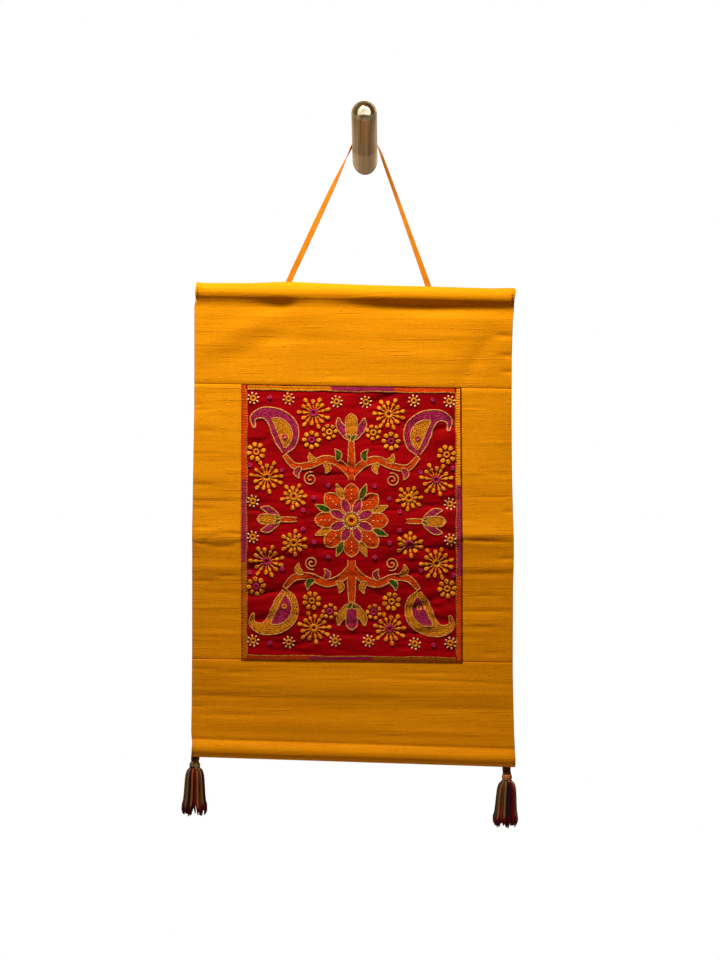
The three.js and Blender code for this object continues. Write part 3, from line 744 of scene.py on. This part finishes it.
def daisy(at, reach, count, heart, turn):
    ring(at, 3.4, heart)
    for way in rays(count, turn):
        drop(at + way * 4.2, way, reach - 4.2, 2.5)


def burst(at, reach, count, heart, turn):
    """A starry flower: drops on thin stems, every other ray longer and with a second drop."""
    ring(at, 4.3, heart)
    for i in range(count):
        way = cmath.rect(1, turn + (i + chance.uniform(-0.1, 0.1)) * 2 * math.pi / count)
        far = reach * (1 if i % 2 == 0 else 0.8) * chance.uniform(0.95, 1.03)
        rope(np.array([at + way * 4.2, at + way * (far - 4)]), "gold", 1.5, 1.7)
        drop(at + way * (far - 5.4), way, 5.4, 2.15)
        if i % 2 == 0:
            drop(at + way * (far - 10), way, 4.6, 1.7)


def spiral(at, radius, start, side, to):
    """A curl of tan stitching, from outside in."""
    bearing = np.linspace(0, 1.7 * 2 * math.pi, 40)
    reach = radius * (1 - bearing / bearing[-1]) ** 0.8 + 0.6
    rope(np.array([to(at + cmath.rect(r, start + side * b)) for r, b in zip(reach, bearing)]), "tan", 1.9)


def leaf(base, tip, half, fill, to, bend):
    middle = (base + tip) / 2 + 1j * (tip - base) * bend
    shape([base, middle, tip], [0.5, half * 0.9, half, half * 0.55, 0.2], fill, to, edge_width=1.6)


def paisley(base, turn, size, to, outer, inner, heart):
    """A curled drop with a smaller one in it and a ring at its heart."""
    way = cmath.rect(size, turn)
    for points, halves, fill in (
        ((0, -1 + 8j, 18j, 7 + 27j, 17 + 31j, 25 + 27j, 24 + 19j), (1.5, 9, 10.8, 8.4, 4.8, 2.6, 0.8), outer),
        ((-0.6 + 4j, -1 + 10j, 17j, 4.5 + 23j, 10.5 + 27j), (0.5, 3.4, 5.0, 5.5, 4.9, 3.3, 0.4), inner),
    ):
        shape([base + way * point for point in points], [half * size for half in halves], fill, to)
    ring(to(base + way * 13j), 2.8, heart)


def tulip(base, way, size, to, side_fill, middle_fill):
    """A three-petalled flower with a green calyx."""
    way = way * size
    for points, halves, fill in (
        ((1, 8 + 5j, 15 + 11j, 23 + 12.5j), (1, 4.4, 3.6, 0.4), side_fill),
        ((1, 8 - 5j, 15 - 11j, 23 - 12.5j), (1, 4.4, 3.6, 0.4), side_fill),
        ((2, 11, 20, 27), (1, 5.2, 5.6, 0.4), middle_fill),
    ):
        shape([base + way * point for point in points], [half * size for half in halves], fill, to)
    leaf(base, base + way * (7 + 6j), 1.9 * size, "green", to, -0.15)
    leaf(base, base + way * (7 - 6j), 1.9 * size, "green", to, 0.15)


def as_is(point):
    return point


def mirrored(point):
    return complex(-point.real, point.imag)


# Medallion in the middle: petals in three rounds about a ring
HEART, BETWEEN_PETALS = 3j, math.pi / 8
for i, way in enumerate(rays(8, BETWEEN_PETALS)):
    leaf(HEART + way * 22, HEART + way * 38, 3.0, "green" if i % 2 else "gold", as_is, 0.0)
for way in rays(8):
    shape([HEART + way * r for r in (11, 19, 27, 35)], [2.0, 4.6, 6.4, 7.2, 7.1, 5.6, 0.6], "orange", as_is)
for way in rays(8, BETWEEN_PETALS):
    shape([HEART + way * r for r in (6, 11, 16, 22)], [1.2, 2.6, 3.7, 4.2, 3.8, 2.8, 0.4], "purple", as_is)
ring(HEART, 6.2, "gold", 0.3)
for way in rays(16):
    stitch("cream", HEART + way * 7.1, HEART + way * 8.9, 1.5, 1.6)
for way in rays(8):
    for reach in (20, 24, 28):
        stitch("cream", HEART + way * reach, HEART + way * (reach + 1.8), 1.1, 1.5)

# Upright stems and flowers above and below
shape([41j, 52j, 66j, 80j], [2.8, 3.4, 3.0, 2.2], "orange", as_is, joins=True)
tulip(78j, 1j, 1.0, as_is, "purple", "gold")
shape([-35j, -47j, -60j, -76j], [3.4, 4.0, 3.6, 2.6], "orange", as_is, joins=True)
tulip(-75j, -1j, 1.0, as_is, "gold", "purple")

UPPER_BRANCH = [1 + 46j, 10 + 56j, 24 + 61j, 40 + 55j, 54 + 54j, 64 + 64j]
LOWER_BRANCH = [1 - 42j, 10 - 52j, 24 - 57j, 40 - 51j, 54 - 52j, 64 - 62j]
for to, (one, other) in ((as_is, ("purple", "gold")), (mirrored, ("gold", "purple"))):
    # branches to the corners, each ending in a paisley, the lower one turned about
    shape(UPPER_BRANCH, [2.6, 3.4, 3.3, 3.1, 2.8, 2.0], "orange", to, joins=True)
    paisley(64 + 66j, 0.02, 1.22, to, "purple", "gold", "purple")
    shape(LOWER_BRANCH, [2.8, 3.6, 3.5, 3.2, 2.9, 2.0], "orange", to, joins=True)
    paisley(64 - 64j, math.pi - 0.02, 1.22, lambda p, to=to: to(complex(128 - p.real, p.imag)),
            "gold", "purple", "gold")
    # leaves and curls on them
    for base, tip, half, fill, bend in (
        (14 + 59j, 16 + 71j, 3.0, "green", 0.25), (33 + 59j, 40 + 67j, 2.8, "gold", -0.25),
        (48 + 53j, 50 + 42j, 2.8, "purple", 0.3), (26 + 58j, 25 + 47j, 2.8, "gold", -0.3),
        (14 - 55j, 12 - 67j, 3.0, "gold", -0.25), (35 - 54j, 42 - 64j, 3.0, "green", 0.25),
        (46 - 49j, 50 - 38j, 2.8, "gold", -0.3), (26 - 54j, 26 - 43j, 2.8, "purple", 0.3),
    ):
        leaf(base, tip, half, fill, to, bend)
    spiral(39 + 42j, 6.2, 1.9, -1, to)
    spiral(38 - 38j, 6.0, -1.9, 1, to)
    # side flowers
    shape([52 + 3j, 58 + 3j, 64 + 3j, 70 + 3j], [1.6, 2.3, 2.2, 1.7], "orange", to)
    tulip(67 + 3j, 1 + 0j, 0.86, to, "purple", "gold")
    # starry flowers and daisies: how far they reach, their rays, their heart and their turn
    for flower, place, reach, count, heart, turn in (
        (burst, 81 + 43j, 17.0, 13, one, 0.1), (burst, 81 - 37j, 17.0, 13, other, 0.25),
        (burst, 36 + 105j, 16.5, 13, other, 0.2), (burst, 36 - 100j, 16.5, 13, one, 0.0),
        (burst, 55 + 25j, 13.5, 11, "gold", 0.0), (burst, 55 - 19j, 13.5, 11, one, 0.3),
        (daisy, 91 + 67j, 9.5, 8, "gold", 0.2), (daisy, 91 - 61j, 9.5, 8, other, 0.1),
        (daisy, 38 + 79j, 9.2, 8, "purple", 0.0), (daisy, 38 - 74j, 9.2, 8, "gold", 0.3),
        (daisy, 21 + 87j, 7.6, 7, "gold", 0.1), (daisy, 21 - 84j, 7.6, 7, "purple", 0.5),
    ):
        flower(to(place), reach, count, heart, turn)
    # small suns and dots
    for place in (94 + 118j, 94 - 113j, 14 + 116j, 16 - 112j, 94 + 20j, 94 - 14j, 60 + 118j, 60 - 114j):
        sun(to(place))
    for place in (22 + 36j, 36 + 24j, 36 - 18j, 22 - 32j, 97 + 54j, 97 - 48j, 66 + 50j, 66 - 44j,
                  78 + 119j, 78 - 115j, 46 + 12j, 46 - 6j):
        dot(to(place))

# Stitched border in blocks of colour, the upright sides running past the others at the corners. Each side:
# the corner it starts from, whether it is upright, how far in its rows reach, its outer line and its blocks.
# A block has the threads of its rows from outside in, or one for all, and the share of the side where it ends.
BORDER_ROWS, BORDER_WIDE = 4, 5.0
SIDES = [
    (-1 + 1j, False, 4.7, "brown",
     [("yellow bronze bronze yellow", 0.40), ("purple", 0.69), ("orange", 1.0)]),
    (1 + 1j, True, BORDER_WIDE, "brown", [("yellow", 0.35), ("purple", 0.68), ("orange", 1.0)]),
    (-1 - 1j, False, 3.9, "umber", [("rust", 0.30), ("plum", 0.59), ("umber", 1.0)]),
    (-1 + 1j, True, BORDER_WIDE, "olive", [("orange", 0.34), ("purple", 0.64), ("bronze", 1.0)]),
]
for corner, upright, wide, outer_line, blocks in SIDES:
    reach = HALF_HIGH if upright else HALF_WIDE
    phase = chance.uniform(0, 6)
    inner_start = (BORDER_WIDE if upright else BORDER_WIDE + 0.9) - 0.2
    lines = [(0.25, 0.25, outer_line, 1.1)]
    for inset in np.linspace(1.1, wide, 2 * BORDER_ROWS + 1)[1::2]:
        lines.append((inset, 1.1 if upright else BORDER_WIDE + 0.9, None, 1.25))
    lines.append((wide + 0.4, inner_start, "olive", 1.5))
    for row, (inset, start, line, thick) in enumerate(lines, -1):
        done = start
        while done < 2 * reach - start - 0.6:
            long = chance.uniform(2.4, 3.2)
            threads = next(names for names, end in blocks if done / (2 * reach) <= end).split()
            ends = []
            for at in (done - 0.3, min(done + long, 2 * reach - start)):
                wave = 0.32 * math.sin(at / 9 + phase) + 0.2 * math.sin(at / 3.7 + phase)
                wave *= 0.2 * inset if inset > 1 else 0
                place = complex(inset + wave, at) if upright else complex(at, inset + wave)
                across = corner.real * (HALF_WIDE - place.real)
                ends.append(complex(across, corner.imag * (HALF_HIGH - place.imag)))
            if line:
                stitch(line, ends[0], ends[1], thick, 1.1, 0.8)
            else:
                stitch(threads[row % len(threads)], ends[0], ends[1], thick, 0.9, 0.45)
            done += long - 0.3


def on_panel(across, up):
    """Where a place on the panel lies, and its face there."""
    share = (across + HALF_WIDE) / (2 * HALF_WIDE)
    rise = (up + HALF_HIGH) / (2 * HALF_HIGH)
    left = PANEL_LEFT + SLIT / 2
    x = left + share * (PANEL_RIGHT[0] - left)
    foot, head = height_of(BOTTOM_SEAM, x), height_of(TOP_SEAM, x)
    z = foot + (head - foot) * rise
    x = left + share * (panel_right(z) - SLIT / 2 - left)
    return np.column_stack([x, HANG_DEPTH - LAYER / 2 - panel_forward(x, z), z])


def spindles(name, start, end, wide_by, out_by, behind, tones, material):
    """One mesh of small spindles from start to end, one to a stitch. behind moves each one's middle."""
    mesh = bpy.data.meshes.new(name)
    work = bmesh.new()
    bmesh.ops.create_uvsphere(work, u_segments=6, v_segments=3, radius=1)
    work.to_mesh(mesh)
    work.clear()
    work.from_mesh(mesh)
    one = np.array([vertex.co for vertex in work.verts])
    count = 1
    while count < len(start):
        more = min(count, len(start) - count)
        parts = []
        for kind in (work.verts, work.edges, work.faces):
            parts += kind[:len(kind) // count * more]
        bmesh.ops.duplicate(work, geom=parts)
        count += more
    work.to_mesh(mesh)
    along = end - start
    long = np.linalg.norm(along, axis=1, keepdims=True)
    along = along / np.maximum(long, 1e-6)
    wide = unit(np.cross(along, [0, -1, 0]))
    out = np.cross(wide, along)
    middle = (start + end) / 2 + behind
    corners = (middle[:, None] + one[None, :, 2:3] * (along * long / 2)[:, None]
               + one[None, :, 0:1] * (wide * np.reshape(wide_by, (-1, 1)) / 2)[:, None]
               + one[None, :, 1:2] * (out * np.reshape(out_by, (-1, 1)) / 2)[:, None])
    mesh.vertices.foreach_set("co", (corners * MM).ravel())
    set_shades(mesh, np.repeat(tones, len(one)))
    work.clear()
    work.from_mesh(mesh)
    outward(work, mesh)
    finished(name, mesh, material)


def sew_all():
    """All embroidery stitches of one colour are one mesh, on the face and never coming out behind."""
    for colour, stitches in sewn.items():
        rows = np.array(stitches)
        start, end = on_panel(rows[:, 0], rows[:, 1]), on_panel(rows[:, 2], rows[:, 3])
        face = on_panel((rows[:, 0] + rows[:, 2]) / 2, (rows[:, 1] + rows[:, 3]) / 2)
        sunk = np.minimum(face[:, 1] - (start[:, 1] + end[:, 1]) / 2, 0)
        lift = np.maximum(0.28 * rows[:, 5], rows[:, 5] / 2 - 0.2)
        tones = 0.5 + (chance.uniform(0, 1, len(rows)) - 0.5) * rows[:, 6]
        behind = (sunk - lift)[:, None] * [0, 1, 0]
        spindles(f"stitches_{colour}", start, end, rows[:, 4], rows[:, 5], behind, tones, THREADS[colour])


sew_all()


# Hem stitches behind, reddish overcast stitches at the open ends of the top sleeve, and the stitches that
# hold the cord's ends

def silk_back(x, z):
    return HANG_DEPTH + LAYER / 2 - silk_forward(x, z)


def plain_stitches(name, pairs, width, colour):
    """Stitches in the silk, each given by its start and its end."""
    start, end = np.array(pairs).swapaxes(0, 1)
    tones = chance.uniform(0, 1, len(pairs))
    spindles(name, start, end, width, 0.5, 0, tones, THREADS[colour])


def hem_stitches():
    from_edge, from_rod, apart = 9.9, 25, 4.5
    pairs = []
    for z in np.arange(-560, -150, apart):
        for side, inward in ((left_side(z), 1), (right_side(z), -1)):
            x = side + inward * from_edge
            y = silk_back(x, z)
            pairs.append(((x - inward * 0.9, y + 0.95, z), (x + inward * 0.8, y + 0.15, z + 1.4)))
    for x in np.arange(-150, 130, apart):
        for rod_line, upward in ((TOP_ROD, 1), (BOTTOM_ROD, -1)):
            z = height_of(rod_line, x) - upward * from_rod
            y = silk_back(x, z)
            pairs.append(((x, y + 1.3, z + upward * 0.8), (x + 1.4, y + 0.15, z - upward * 0.9)))
    plain_stitches("hem_stitches", pairs, 0.55, "yellow")


def end_stitches():
    pairs = []
    for side, inward in ((left_side(-130), 1), (right_side(-135), -1)):
        for up in (3.4, 1.2, -0.9, -2.8):
            x = side + inward * 2.4
            z = height_of(TOP_ROD, x) + up
            y = HANG_DEPTH - math.sqrt((SLEEVE_RADIUS + LAYER / 2) ** 2 - up * up)
            pairs.append(((x - inward * 0.8, y + 0.35, z + 0.5), (x + inward * 0.7, y - 0.1, z - 0.5)))
    plain_stitches("sleeve_end_stitches", pairs, 0.7, "rust")
    pairs = []
    for x, foot, tilt in ((-77.2, -131.5, 0.2), (63.3, -134.3, -0.15)):
        for k in range(4):
            z = foot + 2.0 * k
            pairs.append(((x - 2.3 + tilt * k, -1.55, z + 0.4), (x + 2.3 + tilt * k, -1.55, z - 0.4)))
    plain_stitches("cord_end_stitches", pairs, 0.6, "yellow")


hem_stitches()
end_stitches()


# Tassels

def yarn(name, stops, roughness=0.8):
    """Yarn whose strands take one of several colours each."""
    finish = Finish(name, roughness, Sheen_Weight=0.03, Sheen_Roughness=0.5, Specular_IOR_Level=0.06)
    tone = finish.add("ShaderNodeAttribute", attribute_name="shade").outputs["Fac"]
    colour = finish.ramp(tone, [(at, rgb(*seen)) for at, seen in stops])
    colour.node.color_ramp.interpolation = "CONSTANT"
    fuzz = finish.noise((900, 900, 500), 3, 0.7)
    finish.colour(finish.mix("MULTIPLY", 0.6, colour, finish.greys(fuzz, (0.3, 0.45), (0.7, 1.25))))
    finish.bump(fuzz, 0.5)
    return finish.material


TASSEL_YARN = yarn("tassel_yarn", [
    (0.0, (134, 104, 62)), (0.36, (32, 6, 8)), (0.62, (118, 0, 6)), (0.8, (98, 60, 22)),
    (0.95, (150, 90, 32)),
])
WINDING = yarn("winding_thread", [(0.0, (236, 146, 94)), (0.5, (222, 120, 66)), (0.8, (130, 116, 78))], 0.6)


def bundle(name, paths, radius, tones, material):
    """Round strands along their paths, which all have the same number of points."""
    sides = 6
    paths = np.asarray(paths)
    count, points = paths.shape[:2]
    mesh = bpy.data.meshes.new(name)
    work = bmesh.new()
    for _ in range(count):
        bmesh.ops.create_grid(work, x_segments=sides, y_segments=points - 1, size=0.5)
    work.to_mesh(mesh)
    column, row = grid_places(mesh, sides, points - 1)
    which = np.arange(len(row)) // ((sides + 1) * points)
    heading = unit(np.gradient(paths, axis=1))
    first = unit(np.cross(heading, [0.31, 0.92, 0.23]))
    second = np.cross(heading, first)
    bearing = (column % sides) * (2 * math.pi / sides)
    thick = np.broadcast_to(radius, (count, points))[which, row]
    corner = (paths[which, row] + first[which, row] * (np.cos(bearing) * thick)[:, None]
              + second[which, row] * (np.sin(bearing) * thick)[:, None])
    mesh.vertices.foreach_set("co", (corner * MM).ravel())
    set_shades(mesh, np.asarray(tones)[which])
    work.clear()
    work.from_mesh(mesh)
    bmesh.ops.remove_doubles(work, verts=work.verts, dist=1e-7)
    bmesh.ops.holes_fill(work, edges=[edge for edge in work.edges if edge.is_boundary], sides=0)
    outward(work, mesh)
    return finished(name, mesh, material)


# top: from the rod's middle down to the winding. neck: the loop's radius in the winding and above it.
# threads: the winding's tones. tufts: where round the skirt its pointed ends lie. front: the tones of the
# strands that face the front.
TASSELS = [
    {"name": "tassel_left", "x": -162.5, "half_width": 4.2, "top": 14.4, "height": 3.0, "out": 5.2,
     "length": 46.5, "shift": -0.5, "neck": (4.2, 2.6), "threads": (0.9, 0.85, 0.95), "tufts": 0.5,
     "front": (0.5, 0.9, 0.9, 0.1, 0.5, 0.96, 0.7, 0.1, 0.9, 0.1, 0.5)},
    {"name": "tassel_right", "x": 135.5, "half_width": 4.1, "top": 14.8, "height": 5.6, "out": 5.0,
     "length": 45, "shift": -1.8, "neck": (3.3, 3.2), "threads": (0.2, 0.6, 0.9), "tufts": 0.1,
     "front": (0.5, 0.5, 0.9, 0.1, 0.9, 0.1, 0.5, 0.5, 0.7, 0.1, 0.9)},
]
STRAP_DEPTH = 0.6       # half the depth of the loop's yarn where it lies flat on the sleeve
ON_SLEEVE = 9.8         # distance of its middle there from the rod's middle

# Share of the skirt's length, and its radius there
SKIRT = np.array([
    (0, 3.6), (0.05, 6.2), (0.13, 8.0), (0.3, 8.9), (0.55, 9.6), (0.7, 10.3), (0.79, 11.9), (0.9, 11.7),
    (1, 10.4),
])

# Rings of strands: share of the radius, strands, where they end, how far they flare at the foot, their tones
OUTER_RING = (0.97, 21, 0.88, 0.00, (0.1, 0.5, 0.2, 0.9, 0.5, 0.7))
SKIRT_RINGS = [
    OUTER_RING,
    (0.82, 19, 0.98, 0.16, (0.7, 0.5, 0.7, 0.7, 0.5)),
    (0.62, 15, 1.02, 0.28, (0.7, 0.5, 0.7)),
    (0.36, 9, 1.01, 0.30, (0.7, 0.5)),
]


def tassel_skirt(spec, middle, foot):
    """Cut strands that swell out from the winding and end in pointed tufts, six round the skirt."""
    paths, tones = [], []
    for skirt_ring in SKIRT_RINGS:
        ring_share, strands, ring_end, flare, colours = skirt_ring
        for k in range(strands):
            bearing = 2 * math.pi * (k + chance.uniform(-0.25, 0.25)) / strands
            tuft = (math.floor(bearing / (math.pi / 3) - spec["tufts"]) + 0.5 + spec["tufts"]) * math.pi / 3
            end = ring_end + chance.uniform(-0.03, 0.01) - 0.07 * abs((bearing - tuft) / (math.pi / 6))
            sway = chance.uniform(-0.08, 0.08)
            points = []
            for share in np.linspace(0, 1, 12) ** 0.9 * end:
                gather = min(max((share - 0.78) / 0.2, 0), 1)
                radius = ring_share + flare * np.interp(share, (0.5, 0.9), (0, 1))
                radius = radius * np.interp(share, SKIRT[:, 0], SKIRT[:, 1])
                turn = bearing + sway * math.sin(4 * share) - 0.5 * gather * (bearing - tuft)
                points.append(middle + [
                    radius * math.cos(turn) + spec["shift"] * share, 0.86 * radius * math.sin(turn),
                    foot + 0.3 - share * spec["length"]])
            paths.append(points)
            at_front = k - strands // 2
            striped = skirt_ring is OUTER_RING and 0 <= at_front < len(spec["front"])
            tones.append(spec["front"][at_front] if striped else chance.choice(colours))
    thin = np.interp(np.linspace(0, 1, 12), (0, 0.12, 0.88, 1), (0.6, 1.05, 1.15, 0.5))
    piece = bundle(f"{spec['name']}_strands", paths, thin, tones, TASSEL_YARN)
    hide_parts(f"{spec['name']}_skirt")


def tassel_loop(spec, middle, foot):
    """Doubled yarn from inside the winding, round below the sleeve and flat behind it."""
    low, mid = math.radians(-56), math.radians(-28)
    line = smooth_path([
        (0, 0, foot - 1.5), (0, 0, -spec["top"]), (0, 1.6, -12.8),
        (0, ON_SLEEVE * math.cos(low), ON_SLEEVE * math.sin(low) - 0.5),
        (0, ON_SLEEVE * math.cos(mid), ON_SLEEVE * math.sin(mid)), (0, ON_SLEEVE, 0),
    ], 4)
    share = np.linspace(0, 1, len(line))
    neck, above = spec["neck"]
    broad = np.interp(share, (0, 0.2, 0.34, 0.5), (neck, neck, above, spec["half_width"] - 0.8))
    deep = np.interp(share, (0, 0.2, 0.34, 0.6), (neck * 0.9, neck * 0.9, 2.2, STRAP_DEPTH))
    back = np.cross(unit(np.gradient(line, axis=0)), [1, 0, 0])
    paths, tones = [], []
    for part, strands in ((1.0, 14), (0.45, 6)):
        for k in range(strands):
            bearing = 2 * math.pi * (k + 0.5) / strands
            sideways = (broad * part * math.cos(bearing))[:, None] * [1, 0, 0]
            paths.append(middle + line + sideways + back * (deep * part * math.sin(bearing))[:, None])
            tones.append(chance.choice((0.1, 0.2, 0.9, 0.1)))
    piece = bundle(f"{spec['name']}_loop_yarn", paths, 0.8, tones, TASSEL_YARN)
    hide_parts(f"{spec['name']}_loop")


def tassel_winding(spec, middle, foot):
    """Three threads side by side wound round the neck, bulging at its middle, and a knot in front."""
    neck = spec["neck"][0]
    wind = np.linspace(0, 2 * math.pi * spec["height"] / 0.62 / 3, 60)
    share = wind / wind[-1]
    radius = neck + 0.55 + (spec["out"] - neck - 1.0) * np.sin(math.pi * share) ** 0.6
    height = foot + 0.4 + share * (spec["height"] - 0.7)
    paths = []
    for start in (0.4, 2.5, 4.6):
        across, out = radius * np.cos(wind + start), radius * np.sin(wind + start)
        paths.append(middle + np.column_stack([across, out, height]))
    knot = np.linspace(0, 2 * math.pi, 60)
    paths.append(middle + np.column_stack([
        1.8 + 0.5 * np.cos(knot), -neck - 1.5 + 0.1 * np.sin(2 * knot), foot - 0.6 + 0.5 * np.sin(knot)]))
    tones = spec["threads"] + (0.2,)
    piece = bundle(f"{spec['name']}_winding", paths, 0.44, tones, WINDING)
    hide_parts(f"{spec['name']}_binding")


for spec in TASSELS:
    middle = np.array([spec["x"], HANG_DEPTH, height_of(BOTTOM_ROD, spec["x"])])
    for part_of_tassel in (tassel_skirt, tassel_loop, tassel_winding):
        part_of_tassel(spec, middle, -spec["top"] - spec["height"])


# Wall peg: a turned bar with a domed tip, its wall end cut flush

def brass(name):
    """Worn brass: brushed along the bar, polished at the tip, with a painted reflection of the pale wall where
    the bar meets it.
    """
    finish = Finish(name, 0.4, Metallic=1.0)
    turned = {"Vector": finish.place, "Rotation": (PEG["tilt"] - math.pi / 2, 0, 0)}
    along = finish.add("ShaderNodeMapping", turned).outputs["Vector"]
    streaks = finish.noise((330, 330, 9), 2, 0.5, source=along)
    grain = finish.noise((1500, 1500, 300), 2, 0.6, source=along)
    reach = finish.add("ShaderNodeSeparateXYZ", {"Vector": along}).outputs["Z"]
    # Painted reflection: the colour turns paler where the bar meets the wall, as if it mirrored the pale wall.
    painted_wall_reflection = finish.between(reach, 0.0188, 0.0178)
    tip = finish.between(reach, 0.0665, 0.0700)
    dark, middle, light = rgb(146, 116, 72), rgb(168, 135, 87), rgb(192, 158, 106)
    base = finish.ramp(streaks, [(0.34, dark), (0.5, middle), (0.66, light)])
    finish.colour(finish.mix("MIX", finish.math("MULTIPLY", painted_wall_reflection, 0.4), base, rgb(222, 192, 142)))
    polish = finish.math("ADD", tip, finish.math("MULTIPLY", grain, 0.1))
    finish.rough(finish.greys(polish, (0.0, 0.62), (1.0, 0.13)))
    finish.bump(streaks, 0.03)
    return finish.material


def wall_peg():
    mesh = bpy.data.meshes.new("brass_peg")
    work = bmesh.new()
    radius, centre, back = PEG["radius"] * MM, PEG["dome_centre"] * MM, -20 * MM
    profile = [Vector((0, 0, back)), Vector((radius, 0, back))]
    for a in np.linspace(0, math.pi / 2, 16):
        profile.append(Vector((radius * math.cos(a), 0, centre + radius * math.sin(a))))
    corners = [work.verts.new(point) for point in profile]
    edges = [work.edges.new(pair) for pair in zip(corners, corners[1:])]
    bmesh.ops.spin(work, geom=corners + edges, cent=(0, 0, 0), axis=(0, 0, 1), angle=2 * math.pi, steps=64,
                   use_merge=True)
    bmesh.ops.remove_doubles(work, verts=work.verts, dist=1e-6)
    tilt = Matrix.Rotation(PEG["lean"], 4, "Y") @ Matrix.Rotation(math.pi / 2 - PEG["tilt"], 4, "X")
    bmesh.ops.transform(work, matrix=tilt, verts=work.verts)
    cut = bmesh.ops.bisect_plane(work, geom=work.verts[:] + work.edges[:] + work.faces[:],
                                 plane_co=(0, 0, 0), plane_no=(0, 1, 0), clear_outer=True)
    rim = [part for part in cut["geom_cut"] if isinstance(part, bmesh.types.BMEdge)]
    bmesh.ops.holes_fill(work, edges=rim, sides=0)
    outward(work, mesh)
    piece = finished("brass_peg", mesh, brass("old_brass"))
    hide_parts("wall_peg")


wall_peg()


# Rods show only at the open ends of their sleeves

def bare_wood(name):
    finish = Finish(name, 0.7)
    grain = finish.noise((40, 700, 700), 3, 0.6)
    finish.colour(finish.ramp(grain, [(0.3, rgb(132, 72, 40)), (0.7, rgb(184, 120, 72))]))
    finish.bump(grain, 0.2)
    return finish.material


WOOD = bare_wood("bare_dowel")
for name in ("top_rod", "bottom_rod"):
    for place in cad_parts[name].material_slots:
        place.material = WOOD


# Light and floor

def area_light(name, place, aim, size, power, tint):
    data = bpy.data.lights.new(name, "AREA")
    data.shape = "DISK"
    data.size = size
    data.energy = power
    data.color = tint
    lamp = put_in_scene(name, data)
    lamp.location = place
    lamp.rotation_euler = (Vector(aim) - Vector(place)).to_track_quat("-Z", "Y").to_euler()
    lamp.visible_camera = False


area_light("key_light", (-0.095, -0.41, 0.45), (-0.01, 0, -0.28), 0.15, 11.7, (1.0, 0.955, 0.8))
area_light("wall_light", (0.9, 1.1, 0.25), (0, 0, -0.3), 0.7, 2.5, (1.0, 0.95, 0.88))

# The room: white to the eye and dim on cloth. Metal mirrors a pale wall behind and a broad window in front.
world = bpy.data.worlds.new("studio")
bpy.context.scene.world = world
world.use_nodes = True
sky = world.node_tree
room = sky.nodes["Background"]
room.inputs["Color"].default_value = (1, 1, 1, 1)
room.inputs["Strength"].default_value = 1.0
rays_kind = new_node(sky, "ShaderNodeLightPath")
bearings = new_node(sky, "ShaderNodeTexCoord").outputs["Generated"]
heading = new_node(sky, "ShaderNodeSeparateXYZ", {"Vector": bearings})


def backdrop(strength, tint=(1, 0.93, 0.84, 1)):
    light = {"Color": tint, "Strength": strength}
    return new_node(sky, "ShaderNodeBackground", light).outputs["Background"]


def choose(switch, no, yes):
    return new_node(sky, "ShaderNodeMixShader", {"Fac": switch, 1: no, 2: yes}).outputs["Shader"]


def spread(axis, start, end, low, high):
    """Goes from low to high as the direction goes from start to end on an axis."""
    limits = {"From Min": start, "From Max": end, "To Min": low, "To Max": high}
    return new_node(sky, "ShaderNodeMapRange", {"Value": heading.outputs[axis], **limits}).outputs["Result"]


def both(kind, first, second):
    return new_node(sky, "ShaderNodeMath", {0: first, 1: second}, operation=kind).outputs["Value"]


window = both("MULTIPLY", spread("Y", -0.52, -0.45, 1, 0), spread("Z", -0.40, -0.24, 0, 1))
strip = both("MULTIPLY", spread("Y", 0.44, 0.48, 0, 1), spread("Y", 0.56, 0.60, 1, 0))
corner = both("MULTIPLY", spread("X", 0.15, 0.25, 0, 1), spread("Z", 0.2, 0.35, 0, 1))
strip = both("MULTIPLY", strip, corner)
wall_glow = both("MULTIPLY", spread("Y", -0.1, 0.5, 0.2, 0.46), spread("X", -0.6, 0.6, 1.4, 0.7))
wall_glow = both("ADD", wall_glow, spread("Y", 0.72, 0.98, 0, 1.5))
glint = choose(strip, backdrop(wall_glow), backdrop(2.2))
glint = choose(window, glint, backdrop(6.0, (0.4, 0.54, 1, 1)))
on_cloth = backdrop(spread("Z", -0.5, 0.3, 0.036, 0.115), (1, 0.45, 0.27, 1))
lit = choose(rays_kind.outputs["Is Glossy Ray"], on_cloth, glint)
lit = choose(rays_kind.outputs["Is Camera Ray"], lit, room.outputs["Background"])
sky.links.new(lit, sky.nodes["World Output"].inputs["Surface"])

floor_mesh = bpy.data.meshes.new("floor")
work = bmesh.new()
bmesh.ops.create_circle(work, cap_ends=True, segments=96, radius=0.75)
work.to_mesh(floor_mesh)
work.free()
floor = put_in_scene("floor", floor_mesh)
floor.location = (0, 0, -1.0)
pale = Finish("pale_floor", 0.8)
pale.shader.inputs["Base Color"].default_value = (0.86, 0.86, 0.85, 1)
floor_mesh.materials.append(pale.material)

bpy.context.scene.view_settings.view_transform = "Standard"
